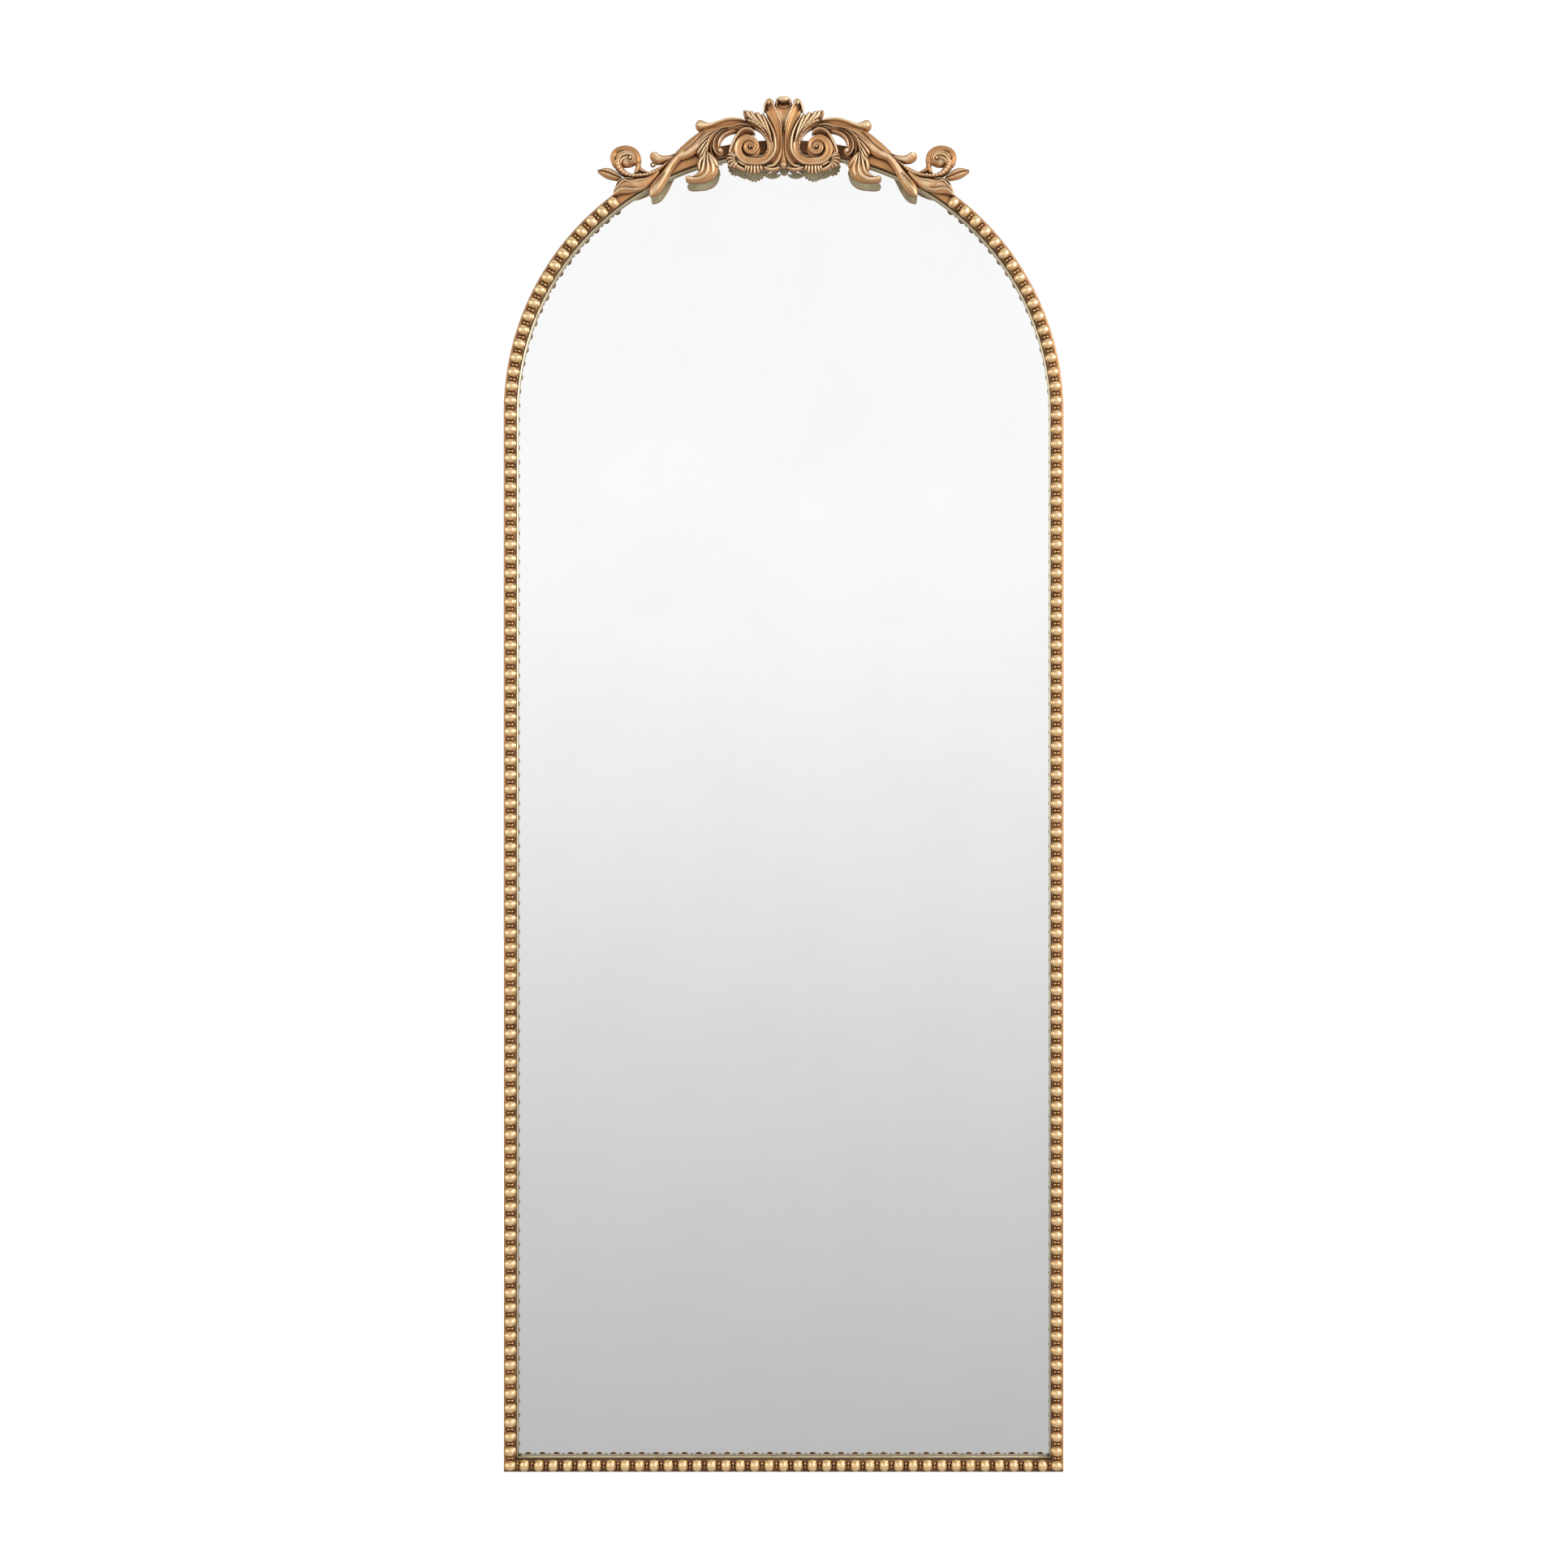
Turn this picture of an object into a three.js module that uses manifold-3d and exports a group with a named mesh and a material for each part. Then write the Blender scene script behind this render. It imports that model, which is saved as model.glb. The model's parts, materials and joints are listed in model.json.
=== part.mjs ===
// Arched full-length mirror in a beaded frame with a carved acanthus crest.
// Millimetres. X to the right, the glass faces -Y, Z up.
// The origin is on the floor, in the middle of the underside of the bottom rail.
import * as THREE from 'three';
import { mergeVertices } from 'three/addons/utils/BufferGeometryUtils.js';
import Module from 'manifold-3d';

// ---------------------------------------------------------------- driving dimensions
// Outline of the frame: straight sides, a shoulder arc on each side and a flatter crown arc.
const overallWidth = 660;
const springHeight = 1248;
const shoulderRadius = 321;
const crownRadius = 380;
const arcStepDegrees = 5;

// Section of the frame timbers, across from the outer edge and back from the face.
const frameDepth = 30;
const lipWidth = 14;
const lipDepth = 7;
const lipRounding = 2;
const legWidth = 9;

// Slip, glass and backing board.
const slipWidth = 6.6;
const slipDepth = 5;
const slipRounding = 1.2;
const glassThickness = 4;
const boardThickness = 8;

// Bead moulding.
const beadPitch = 16.94;
const beadLength = 11.3;
const beadWidth = 13;
const beadHeight = 6.8;
const beadShoulder = 2.8;
const beadInset = 8.2;
const reelWidth = 5;
const reelHeight = 2.2;

// Clearance kept between pieces that are fitted into one another.
const clearance = 0.3;

// Crest: the ornament's pieces stand on the plane of the face.
const voluteAcross = 40;
const voluteDrop = 10.5;
const voluteRadius = 23;
const voluteQuarters = 5;
const voluteShrinkPerQuarter = 0.19;
const voluteFieldRadius = 13;
const voluteFieldRise = 4.5;
const fringeInnerRadius = 21;
const fringeOuterRadius = 26.5;
const fringeToothHeight = 3.2;
const fringeTeeth = 9;
const fringeRise = 6;
const fringeFromDegrees = -144;
const fringeToDegrees = 4;
const curlAcross = 184;
const curlAbove = 27;
const curlRadius = 13.6;
const curlInnerRadius = 4;
const curlFromDegrees = -54;
const curlToDegrees = 342;
const curlTightening = 1.4;
const curlFieldRadius = 13.5;
const curlFieldRise = 8;

// Brass screw eye behind the arch.
const eyeAcross = 154.3;
const eyeAbove = 7;
const eyeRadius = 2.2;
const eyeWire = 1.05;
const eyeSetback = 4;
const eyeGrip = 9;
const eyeTiltDegrees = 6;

// Hangers on the back.
const hangerAcross = 215;
const hangerHeight = 1180;
const hangerLength = 50;
const hangerWidth = 12;
const hangerSheet = 1.2;
const ringWire = 1.5;
const ringHalfWidth = 9.5;
const ringDrop = 8;
const ringCorner = 3;
const screwDrops = [27, 41];
const screwRadius = 1.75;
const screwLength = 7;
const screwPoint = 1;
const screwHeadRadius = 3.8;
const screwHeadHeight = 1.8;

// Wall bumpers on the back of the bottom rail.
const bumperRadius = 4;
const bumperThickness = 3;
const bumperTaper = 0.85;
const bumperAcross = 285;

// ---------------------------------------------------------------- derived places
const faceY = -frameDepth / 2;
const glassY = faceY + lipDepth + slipDepth;
const boardY = glassY + glassThickness;
const backY = boardY + boardThickness;
const halfWidth = overallWidth / 2;
const shoulderCentre = halfWidth - shoulderRadius;
const crownCentreDrop = Math.sqrt((crownRadius - shoulderRadius) ** 2 - shoulderCentre ** 2);
const crownStart = Math.atan2(crownCentreDrop, shoulderCentre);
const crownMeetsShoulder = crownRadius * Math.cos(crownStart);
const glassInset = legWidth + clearance;

const gold = new THREE.MeshStandardMaterial({ color: 0xc08a52, metalness: 0.55, roughness: 0.38 });
const paleGold = new THREE.MeshStandardMaterial({ color: 0xd9a873, metalness: 0.6, roughness: 0.3 });
const champagne = new THREE.MeshStandardMaterial({ color: 0xd8cba8, metalness: 0.8, roughness: 0.25 });
const silvered = new THREE.MeshStandardMaterial({ color: 0xe8eaea, metalness: 1, roughness: 0.03 });
const board = new THREE.MeshStandardMaterial({ color: 0x6b4a30, metalness: 0, roughness: 0.8 });
const brass = new THREE.MeshStandardMaterial({ color: 0xa8873c, metalness: 0.9, roughness: 0.35 });
const steel = new THREE.MeshStandardMaterial({ color: 0xb9bcc0, metalness: 1, roughness: 0.35 });
const rubber = new THREE.MeshStandardMaterial({ color: 0x1c1c1d, metalness: 0, roughness: 0.9 });
for (const material of [gold, paleGold, champagne, silvered, board, brass, steel, rubber]) {
  material.flatShading = true;
}

const mirror = new THREE.Group();

function addPiece(name, geometry, material) {
  const mesh = new THREE.Mesh(geometry, material);
  mesh.name = name;
  mirror.add(mesh);
  return mesh;
}

// ---------------------------------------------------------------- solids and booleans
const wasm = await Module();
wasm.setup();

function toSolid(geometry) {
  const bare = geometry.clone();
  bare.deleteAttribute('normal');
  bare.deleteAttribute('uv');
  const merged = mergeVertices(bare, 1e-4);
  return new wasm.Manifold(new wasm.Mesh({
    numProp: 3,
    vertProperties: Float32Array.from(merged.attributes.position.array),
    triVerts: Uint32Array.from(merged.index.array),
  }));
}

function toGeometry(solid) {
  const mesh = solid.getMesh();
  const geometry = new THREE.BufferGeometry();
  geometry.setAttribute('position', new THREE.BufferAttribute(mesh.vertProperties, 3));
  geometry.setIndex(new THREE.BufferAttribute(mesh.triVerts, 1));
  geometry.computeVertexNormals();
  return geometry;
}

function joined(geometries) {
  const solids = geometries.map(toSolid);
  return solids.reduce((whole, solid) => whole.add(solid));
}

function drilled(geometry, drills) {
  const solid = drills.reduce((rest, drill) => rest.subtract(toSolid(drill)), toSolid(geometry));
  return toGeometry(solid);
}

// The largest part of a solid: crumbs that a cut leaves behind are dropped.
function mainBody(solid) {
  const parts = solid.decompose();
  return parts.reduce((best, part) => (part.volume() > best.volume() ? part : best));
}

function signedVolume(positions, faces) {
  const corner = (index) => new THREE.Vector3().fromArray(positions, index * 3);
  let volume = 0;
  for (let i = 0; i < faces.length; i += 3) {
    const across = corner(faces[i + 1]).cross(corner(faces[i + 2]));
    volume += corner(faces[i]).dot(across) / 6;
  }
  return volume;
}

// Skin a run of rings, each a list of points with the same count as the flat section.
function loft(rings, section, closed = false) {
  const count = section.length;
  const positions = rings.flat().flatMap((point) => [point.x, point.y, point.z]);
  const faces = [];
  const spans = closed ? rings.length : rings.length - 1;
  for (let i = 0; i < spans; i += 1) {
    const near = i * count;
    const far = ((i + 1) % rings.length) * count;
    for (let j = 0; j < count; j += 1) {
      const next = (j + 1) % count;
      faces.push(near + j, near + next, far + next);
      faces.push(near + j, far + next, far + j);
    }
  }
  if (!closed) {
    const flat = section.map(([across, up]) => new THREE.Vector2(across, up));
    const turned = THREE.ShapeUtils.isClockWise(flat);
    const lastRing = (rings.length - 1) * count;
    for (const [a, b, c] of THREE.ShapeUtils.triangulateShape(flat, [])) {
      const [first, second] = turned ? [b, c] : [c, b];
      faces.push(a, first, second);
      faces.push(lastRing + a, lastRing + second, lastRing + first);
    }
  }
  if (signedVolume(positions, faces) < 0) {
    faces.reverse();
  }
  const geometry = new THREE.BufferGeometry();
  geometry.setAttribute('position', new THREE.Float32BufferAttribute(positions, 3));
  geometry.setIndex(faces);
  geometry.computeVertexNormals();
  return geometry;
}

// ---------------------------------------------------------------- the arch
// Angles run from 0 at the right spring, over the crown, to pi at the left spring.
function archPoint(angle, inset) {
  const direction = [Math.cos(angle), Math.sin(angle)];
  if (angle >= crownStart && angle <= Math.PI - crownStart) {
    const radius = crownRadius - inset;
    return [radius * direction[0], springHeight - crownCentreDrop + radius * direction[1]];
  }
  const radius = shoulderRadius - inset;
  const centre = angle < Math.PI / 2 ? shoulderCentre : -shoulderCentre;
  return [centre + radius * direction[0], springHeight + radius * direction[1]];
}

// The arc that the frame's outer edge follows at a distance from the centre line.
function archArcAt(across) {
  if (across <= crownMeetsShoulder) {
    return { centre: 0, height: springHeight - crownCentreDrop, radius: crownRadius };
  }
  return { centre: shoulderCentre, height: springHeight, radius: shoulderRadius };
}

// Height of the frame's outer edge at a distance from the centre line.
function archTopAt(across) {
  const arc = archArcAt(across);
  return arc.height + Math.sqrt(arc.radius ** 2 - (across - arc.centre) ** 2);
}

function anglesBetween(start, end) {
  const steps = Math.ceil(Math.abs(end - start) / THREE.MathUtils.degToRad(arcStepDegrees));
  return Array.from({ length: steps + 1 }, (_, i) => start + ((end - start) * i) / steps);
}

function archOutline(inset, foot) {
  const outline = new THREE.Shape();
  outline.moveTo(-(halfWidth - inset), foot);
  outline.lineTo(halfWidth - inset, foot);
  for (const angle of anglesBetween(0, Math.PI)) {
    outline.lineTo(...archPoint(angle, inset));
  }
  outline.closePath();
  return outline;
}

// A flat board cut to an outline drawn in X and Z.
function slab(outline, frontY, thickness) {
  const geometry = new THREE.ExtrudeGeometry(outline, { depth: thickness, bevelEnabled: false });
  geometry.rotateX(Math.PI / 2);
  geometry.translate(0, frontY + thickness, 0);
  return geometry;
}

// ---------------------------------------------------------------- frame members
function quarterRound(across, depth, radius) {
  const steps = 3;
  return Array.from({ length: steps + 1 }, (_, i) => {
    const angle = (Math.PI / 2) * (i / steps);
    return [across - radius + radius * Math.sin(angle), depth + radius - radius * Math.cos(angle)];
  });
}

const timberSection = [
  [0, 0],
  ...quarterRound(lipWidth, 0, lipRounding),
  [lipWidth, lipDepth],
  [legWidth, lipDepth],
  [legWidth, frameDepth],
  [0, frameDepth],
];

const slipSection = [
  [glassInset, lipDepth],
  ...quarterRound(glassInset + slipWidth, lipDepth, slipRounding),
  [glassInset + slipWidth, lipDepth + slipDepth],
  [glassInset, lipDepth + slipDepth],
];

// Each member lofts the section: mitred at the foot, square at the spring line.
function uprightMember(section, side) {
  const foot = section.map(([inset, depth]) => (
    new THREE.Vector3(side * (halfWidth - inset), faceY + depth, inset)
  ));
  const head = section.map(([inset, depth]) => (
    new THREE.Vector3(side * (halfWidth - inset), faceY + depth, springHeight)
  ));
  return loft([foot, head], section);
}

function footMember(section) {
  const ends = [-1, 1].map((side) => section.map(([inset, depth]) => (
    new THREE.Vector3(side * (halfWidth - inset), faceY + depth, inset)
  )));
  return loft(ends, section);
}

function archMember(section, start, end) {
  const rings = anglesBetween(start, end).map((angle) => section.map(([inset, depth]) => {
    const [across, height] = archPoint(angle, inset);
    return new THREE.Vector3(across, faceY + depth, height);
  }));
  return loft(rings, section);
}

// The head is built up from four timbers, jointed under the crest.
function buildFrame() {
  addPiece('bottom_rail', footMember(timberSection), gold);
  addPiece('slip_bottom', footMember(slipSection), champagne);
  const shoulderEnd = Math.PI / 4;
  const joints = [0, shoulderEnd, Math.PI / 2];
  for (const [name, side] of [['right', 1], ['left', -1]]) {
    const turn = (angle) => (side > 0 ? angle : Math.PI - angle);
    addPiece(`stile_${name}`, uprightMember(timberSection, side), gold);
    addPiece(`arch_shoulder_${name}`, archMember(timberSection, turn(joints[0]), turn(joints[1])), gold);
    let crownPart = archMember(timberSection, turn(joints[1]), turn(joints[2]));
    if (side < 0) {
      crownPart = drilled(crownPart, [eyeHole()]);
    }
    addPiece(`arch_crown_${name}`, crownPart, gold);
    addPiece(`slip_${name}`, uprightMember(slipSection, side), champagne);
    addPiece(`slip_arch_${name}`, archMember(slipSection, turn(joints[0]), turn(joints[2])), champagne);
  }
}

function buildGlassAndBoard() {
  const glass = slab(archOutline(glassInset, glassInset), glassY, glassThickness);
  addPiece('mirror_glass', glass, silvered);
  const outline = archOutline(glassInset, glassInset);
  for (const side of [-1, 1]) {
    for (const drop of screwDrops) {
      const hole = new THREE.Path();
      hole.absarc(side * hangerAcross, hangerHeight - drop, screwRadius + clearance, 0, 2 * Math.PI);
      outline.holes.push(hole);
    }
  }
  const backing = new THREE.Shape(outline.getPoints());
  backing.holes = outline.holes.map((hole) => new THREE.Path(hole.getPoints(3)));
  addPiece('backing_board', slab(backing, boardY, boardThickness), board);
}

// ---------------------------------------------------------------- bead moulding
// One pitch runs from the middle of a reel, over a bead, to the middle of the next reel.
const beadSection = [[-1, 0], [-0.6, 1], [0.6, 1], [1, 0]];

// placeAt turns a distance along the run and an inset from the outer edge into X and Z.
function beadRun(firstBead, beads, placeAt) {
  const ringAt = (distance, width, height) => beadSection.map(([across, up]) => {
    const [x, z] = placeAt(distance, beadInset + (across * width) / 2);
    return new THREE.Vector3(x, faceY - up * height, z);
  });
  const rings = [ringAt(firstBead - beadLength / 2, reelWidth, reelHeight)];
  for (let bead = 0; bead < beads; bead += 1) {
    const middle = firstBead + bead * beadPitch;
    const toReel = bead < beads - 1 ? beadPitch / 2 : beadLength / 2;
    rings.push(ringAt(middle - beadShoulder, beadWidth, beadHeight));
    rings.push(ringAt(middle + beadShoulder, beadWidth, beadHeight));
    rings.push(ringAt(middle + toReel, reelWidth, reelHeight));
  }
  return loft(rings, beadSection);
}

function beadsThatFit(length) {
  return Math.floor((length - beadLength) / beadPitch) + 1;
}

function buildBeads() {
  const uprightBeads = beadsThatFit(springHeight - beadInset + beadLength / 2);
  const footSpan = overallWidth - 2 * (beadInset + beadWidth / 2 + clearance);
  const footBeads = beadsThatFit(footSpan);
  const footStart = -((footBeads - 1) * beadPitch) / 2;
  addPiece('beads_bottom', beadRun(footStart, footBeads, (along, inset) => [along, inset]), paleGold);

  const beadLineRadius = shoulderRadius - beadInset;
  const firstOnArch = beadInset + uprightBeads * beadPitch - springHeight;
  const crestReach = crestEndAngle() * beadLineRadius - beadLength / 2;
  const archBeads = Math.floor((crestReach - firstOnArch) / beadPitch) + 1;
  for (const [name, side] of [['right', 1], ['left', -1]]) {
    const upright = (along, inset) => [side * (halfWidth - inset), along];
    const round = (along, inset) => {
      const [x, z] = archPoint(along / beadLineRadius, inset);
      return [side * x, z];
    };
    addPiece(`beads_${name}`, beadRun(beadInset, uprightBeads, upright), paleGold);
    addPiece(`beads_arch_${name}`, beadRun(firstOnArch, archBeads, round), paleGold);
  }
}

// ---------------------------------------------------------------- carved crest
// Places in the crest are [distance from the centre line, height above the frame's outer edge].
const ridge = [[-0.85, 0], [-1, 0.42], [0, 1], [1, 0.42], [0.85, 0]];
const round = [[-0.82, 0], [-1, 0.4], [-0.55, 0.86], [0, 1], [0.55, 0.86], [1, 0.4], [0.82, 0]];

function onArch([across, above], side) {
  return new THREE.Vector3(side * across, faceY, archTopAt(across) + above);
}

function valueAlong(values, share) {
  const place = share * (values.length - 1);
  const index = Math.min(Math.floor(place), values.length - 2);
  return THREE.MathUtils.lerp(values[index], values[index + 1], place - index);
}

// A few values spread evenly over the points of a spine.
function spreadOver(points, values) {
  return points.map((_, i) => valueAlong(values, i / (points.length - 1)));
}

// A leaf, stalk or scroll: a section swept along its spine, with a half width and a rise
// for each point of the spine. A swollen copy of it cuts the clearance in its neighbours.
function strand({ spine, half, rise, section = round, steps = 10 }, side, swell = 0) {
  const curve = new THREE.CatmullRomCurve3(spine.map((place) => onArch(place, side)), false, 'centripetal');
  const outward = new THREE.Vector3(0, -1, 0);
  const rings = [];
  for (let i = 0; i <= steps; i += 1) {
    const centre = curve.getPointAt(i / steps);
    const tangent = curve.getTangentAt(i / steps);
    const across = new THREE.Vector3().crossVectors(tangent, outward).normalize();
    const share = curve.getUtoTmapping(i / steps);
    const width = valueAlong(half, share) + swell;
    const height = valueAlong(rise, share) + swell;
    const overrun = i === 0 ? -swell : (i === steps ? swell : 0);
    rings.push(section.map(([sideways, up]) => centre.clone()
      .addScaledVector(tangent, overrun)
      .addScaledVector(across, sideways * width)
      .addScaledVector(outward, up > 0 ? up * height : -swell)));
  }
  return loft(rings, section);
}

// A low disc or toothed band on the face, drawn in X and Z.
function raised(outline, rise, swell) {
  return slab(outline, faceY - rise - swell, rise + 2 * swell);
}

// The volute winds inwards from the foot of the scroll, its coil narrowing all the way.
function voluteSpine() {
  const stepsPerQuarter = 3;
  const spine = [];
  for (let i = 1; i <= voluteQuarters * stepsPerQuarter; i += 1) {
    const quarter = i / stepsPerQuarter;
    const radius = voluteRadius * Math.exp(-voluteShrinkPerQuarter * quarter);
    const middle = radius - valueAlong([5.6, 5.1, 4.6, 4, 3.4, 2.8], quarter / voluteQuarters);
    const angle = -Math.PI / 2 + (Math.PI / 2) * quarter;
    spine.push([middle * Math.cos(angle), middle * Math.sin(angle)]);
  }
  return spine;
}

// Offsets round the volute's middle, turned into crest places.
const voluteHeight = archTopAt(voluteAcross) - voluteDrop;

function roundVolute([right, up]) {
  const across = voluteAcross + right;
  return [across, voluteHeight + up - archTopAt(across)];
}

// A disc that closes the middle of a scroll.
function field(across, above, radius, rise) {
  return (side, swell) => {
    const outline = new THREE.Shape();
    outline.absarc(side * across, archTopAt(across) + above, radius + swell, 0, 2 * Math.PI);
    return raised(new THREE.Shape(outline.getPoints(8)), rise, swell);
  };
}

// The small curl that ties the volute's top to the branch above it.
const linkStrand = {
  spine: [[35, 1], [41, 7.5], [49, 7.5], [55, 1]],
  half: [4, 5, 5, 4],
  rise: [7, 8.5, 8.5, 7],
  steps: 6,
};

const voluteField = field(voluteAcross, -voluteDrop, voluteFieldRadius, voluteFieldRise);
const curlField = field(curlAcross, curlAbove, curlFieldRadius, curlFieldRise);

const scrollSpine = [[42, 14.5], [28, 11.5], [19, 4.5], [14, -5.5], [13.3, -14], [15.5, -23.5], [24, -30]];
const scrollHalf = [4.5, 5.6, 5.8, 5.8, 5.8, 5.8, 5.6];
const volutePart = voluteSpine();
const voluteStrand = {
  spine: [...scrollSpine, ...volutePart.map(roundVolute)],
  half: [...scrollHalf, ...spreadOver(volutePart, [5.4, 5, 4.4, 3.6, 3, 3])],
  rise: [7, 8, 9, 9.5, 9.5, 9.5, 9, ...spreadOver(volutePart, [9, 9, 9, 9, 10, 11.5])],
  steps: 30,
};

// The toothed rim that peeps out from under the volute.
function fringe(side, swell) {
  const outline = new THREE.Shape();
  const point = (radius, share) => {
    const angle = THREE.MathUtils.degToRad(THREE.MathUtils.lerp(fringeFromDegrees, fringeToDegrees, share));
    return [side * (voluteAcross + radius * Math.cos(angle)), voluteHeight + radius * Math.sin(angle)];
  };
  outline.moveTo(...point(fringeInnerRadius - swell, 0));
  for (let tooth = 0; tooth < fringeTeeth; tooth += 1) {
    outline.lineTo(...point(fringeOuterRadius + swell, tooth / fringeTeeth));
    outline.lineTo(...point(fringeOuterRadius + fringeToothHeight + swell, (tooth + 0.5) / fringeTeeth));
  }
  outline.lineTo(...point(fringeOuterRadius + swell, 1));
  for (let i = fringeTeeth; i >= 0; i -= 1) {
    outline.lineTo(...point(fringeInnerRadius - swell, i / fringeTeeth));
  }
  return raised(outline, fringeRise, swell);
}

// The end curl winds inwards one turn from the end of the ribbed stem.
function curlSpine() {
  const steps = 13;
  const height = archTopAt(curlAcross) + curlAbove;
  return Array.from({ length: steps + 1 }, (_, i) => {
    const share = i / steps;
    const angle = THREE.MathUtils.degToRad(THREE.MathUtils.lerp(curlFromDegrees, curlToDegrees, share));
    const radius = THREE.MathUtils.lerp(curlRadius, curlInnerRadius, share ** curlTightening);
    const across = curlAcross + radius * Math.cos(angle);
    return [across, height + radius * Math.sin(angle) - archTopAt(across)];
  });
}

const stemSpine = [[136, -2], [146, -3.5], [158, -5.5], [170, -3], [181, 3.5]];
const curlPart = curlSpine();
const endScrollStrand = {
  spine: [...stemSpine, ...curlPart],
  half: [3, 3.2, 3.2, 3.2, 3.4, ...spreadOver(curlPart, [3.6, 6, 6.8, 6.8, 6, 4.4])],
  rise: [5, 6, 6.5, 7, 7.5, ...spreadOver(curlPart, [8, 9, 10, 10, 11, 12])],
  steps: 26,
};

// The neck props the curl on the stem.
const neckStrand = {
  spine: [[171, 18], [169.5, 8], [165, 0], [160, -5]],
  half: [4, 3.6, 4.2, 4],
  rise: [7, 7, 7, 6],
  steps: 5,
};

// Listed from the front backwards: each piece is let into those that come before it.
const crest = [
  {
    name: 'finial',
    strands: [{
      spine: [[0, 8], [0, 22], [0, 36], [0, 42], [0, 46], [0, 49.8]],
      half: [2.4, 6, 8.6, 10, 9.6, 4.5],
      rise: [4, 5, 5.5, 12, 13, 9],
    }],
  },
  {
    name: 'base_pearl',
    strands: [{
      spine: [[0, -34.5], [0, -33], [0, -29], [0, -27.5]],
      half: [2, 4.6, 4.6, 2],
      rise: [7, 10, 10, 7],
      steps: 5,
    }],
  },
  {
    name: 'curl_leaf',
    paired: true,
    strands: [{
      spine: [[38, 8.5], [44, 13], [51, 12.5], [60, 12], [69, 11.5], [75, 6.5], [78.5, -0.5], [77, -8]],
      half: [2.6, 3.6, 3.6, 3.4, 3.4, 3.8, 4.4, 3.4],
      rise: [8, 10, 10, 10, 11, 12, 12, 11.5],
      steps: 13,
    }],
  },
  {
    name: 'droop_leaf',
    paired: true,
    strands: [
      {
        spine: [[74, 10], [83, 4], [90, -3], [92, -12.5], [88, -25.5], [84, -36.5]],
        half: [3, 5.5, 8.5, 10.5, 11.4, 5],
        rise: [9, 11, 11.5, 11, 10.5, 9],
        section: ridge,
      },
      {
        spine: [[86, -29], [88, -36.5], [96, -38.5], [106, -35.5], [113, -28]],
        half: [5, 6.5, 5.2, 4.2, 2.4],
        rise: [9, 9.5, 9.5, 9.5, 10.5],
      },
    ],
  },
  {
    name: 'bud',
    paired: true,
    strands: [{
      spine: [[127, -2], [134.5, -10], [142, -17.5], [149, -23.5], [156.5, -29.5]],
      half: [4.6, 5.2, 6.2, 7, 1],
      rise: [9, 8.5, 9, 9.5, 4],
      section: ridge,
    }],
  },
  {
    name: 'volute',
    paired: true,
    strands: [voluteStrand, linkStrand],
    extras: [voluteField],
  },
  {
    name: 'inner_lobe',
    paired: true,
    strands: [{
      spine: [[16.8, 44.5], [15.5, 34.5], [10.5, 21], [7.2, 8], [6, -6], [6, -18], [9.5, -33]],
      half: [3.2, 7.4, 7, 5, 3.6, 3.8, 7.5],
      rise: [10, 11, 9.5, 8.5, 8, 8, 6],
      section: ridge,
    }],
  },
  {
    name: 'centre_stalk',
    strands: [{
      spine: [[0, 12], [0, -5], [0, -20], [0, -34]],
      half: [2.6, 4, 5, 9],
      rise: [6, 7.5, 7.5, 6],
      steps: 6,
    }],
  },
  {
    name: 'side_leaf',
    paired: true,
    strands: [{
      spine: [[46.5, 32], [37, 27], [28, 22], [20, 13.5], [13, 2], [9.5, -10]],
      half: [3, 7.5, 9.5, 8.5, 6, 4],
      rise: [7, 9, 10, 9.5, 8.5, 7],
      section: ridge,
    }],
  },
  {
    name: 'horn',
    paired: true,
    strands: [{
      spine: [[40, 19.5], [62, 24.5], [78, 24], [90, 24.8], [97, 27.5], [101.5, 29]],
      half: [4, 4.4, 4.4, 4.8, 6.8, 4.4],
      rise: [7, 8, 8, 8.5, 11, 8],
    }],
  },
  {
    name: 'hook_leaf',
    paired: true,
    strands: [{
      spine: [[128, 3], [139, 3.5], [148, 8], [153.5, 16.5]],
      half: [3.6, 6, 6.2, 2.6],
      rise: [7, 8, 9, 9],
      section: ridge,
    }],
  },
  { name: 'end_scroll', paired: true, strands: [endScrollStrand, neckStrand], extras: [curlField] },
  {
    name: 'lower_leaf',
    paired: true,
    strands: [
      {
        spine: [[156, -18.5], [170, -12.5], [184, -5.5], [196, -1], [201, -2.5]],
        half: [4.5, 7, 8, 6, 1],
        rise: [7, 8, 8.5, 7.5, 5],
        section: ridge,
      },
    ],
  },
  {
    name: 'end_leaf',
    paired: true,
    strands: [{
      spine: [[187, 1.5], [202, 22.5], [211.5, 34], [219.5, 42]],
      half: [4, 6.2, 5.4, 1.2],
      rise: [6, 8, 7.5, 4],
      section: ridge,
    }],
  },
  {
    name: 'branch',
    paired: true,
    strands: [{
      spine: [[40, 14], [62, 15.5], [80, 14.5], [98, 8.5], [112, 3.5], [124, 0.5], [131, -4]],
      half: [7, 9, 9.6, 8.8, 7.6, 6.6, 5.4],
      rise: [6, 8, 9, 10, 9.5, 8.5, 7],
      steps: 12,
    }],
  },
  { name: 'fringe', paired: true, strands: [], extras: [fringe] },
];

// Where the crest's lowest leaf ends along the arch.
function crestEndAngle() {
  const tip = crest.find((piece) => piece.name === 'lower_leaf').strands[0].spine.at(-1);
  const arc = archArcAt(tip[0]);
  return Math.acos((tip[0] - arc.centre) / arc.radius);
}

function crestSolid(piece, side, swell) {
  const strands = piece.strands.map((spec) => strand(spec, side, swell));
  const extras = (piece.extras ?? []).map((extra) => extra(side, swell));
  return joined([...strands, ...extras]);
}

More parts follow.
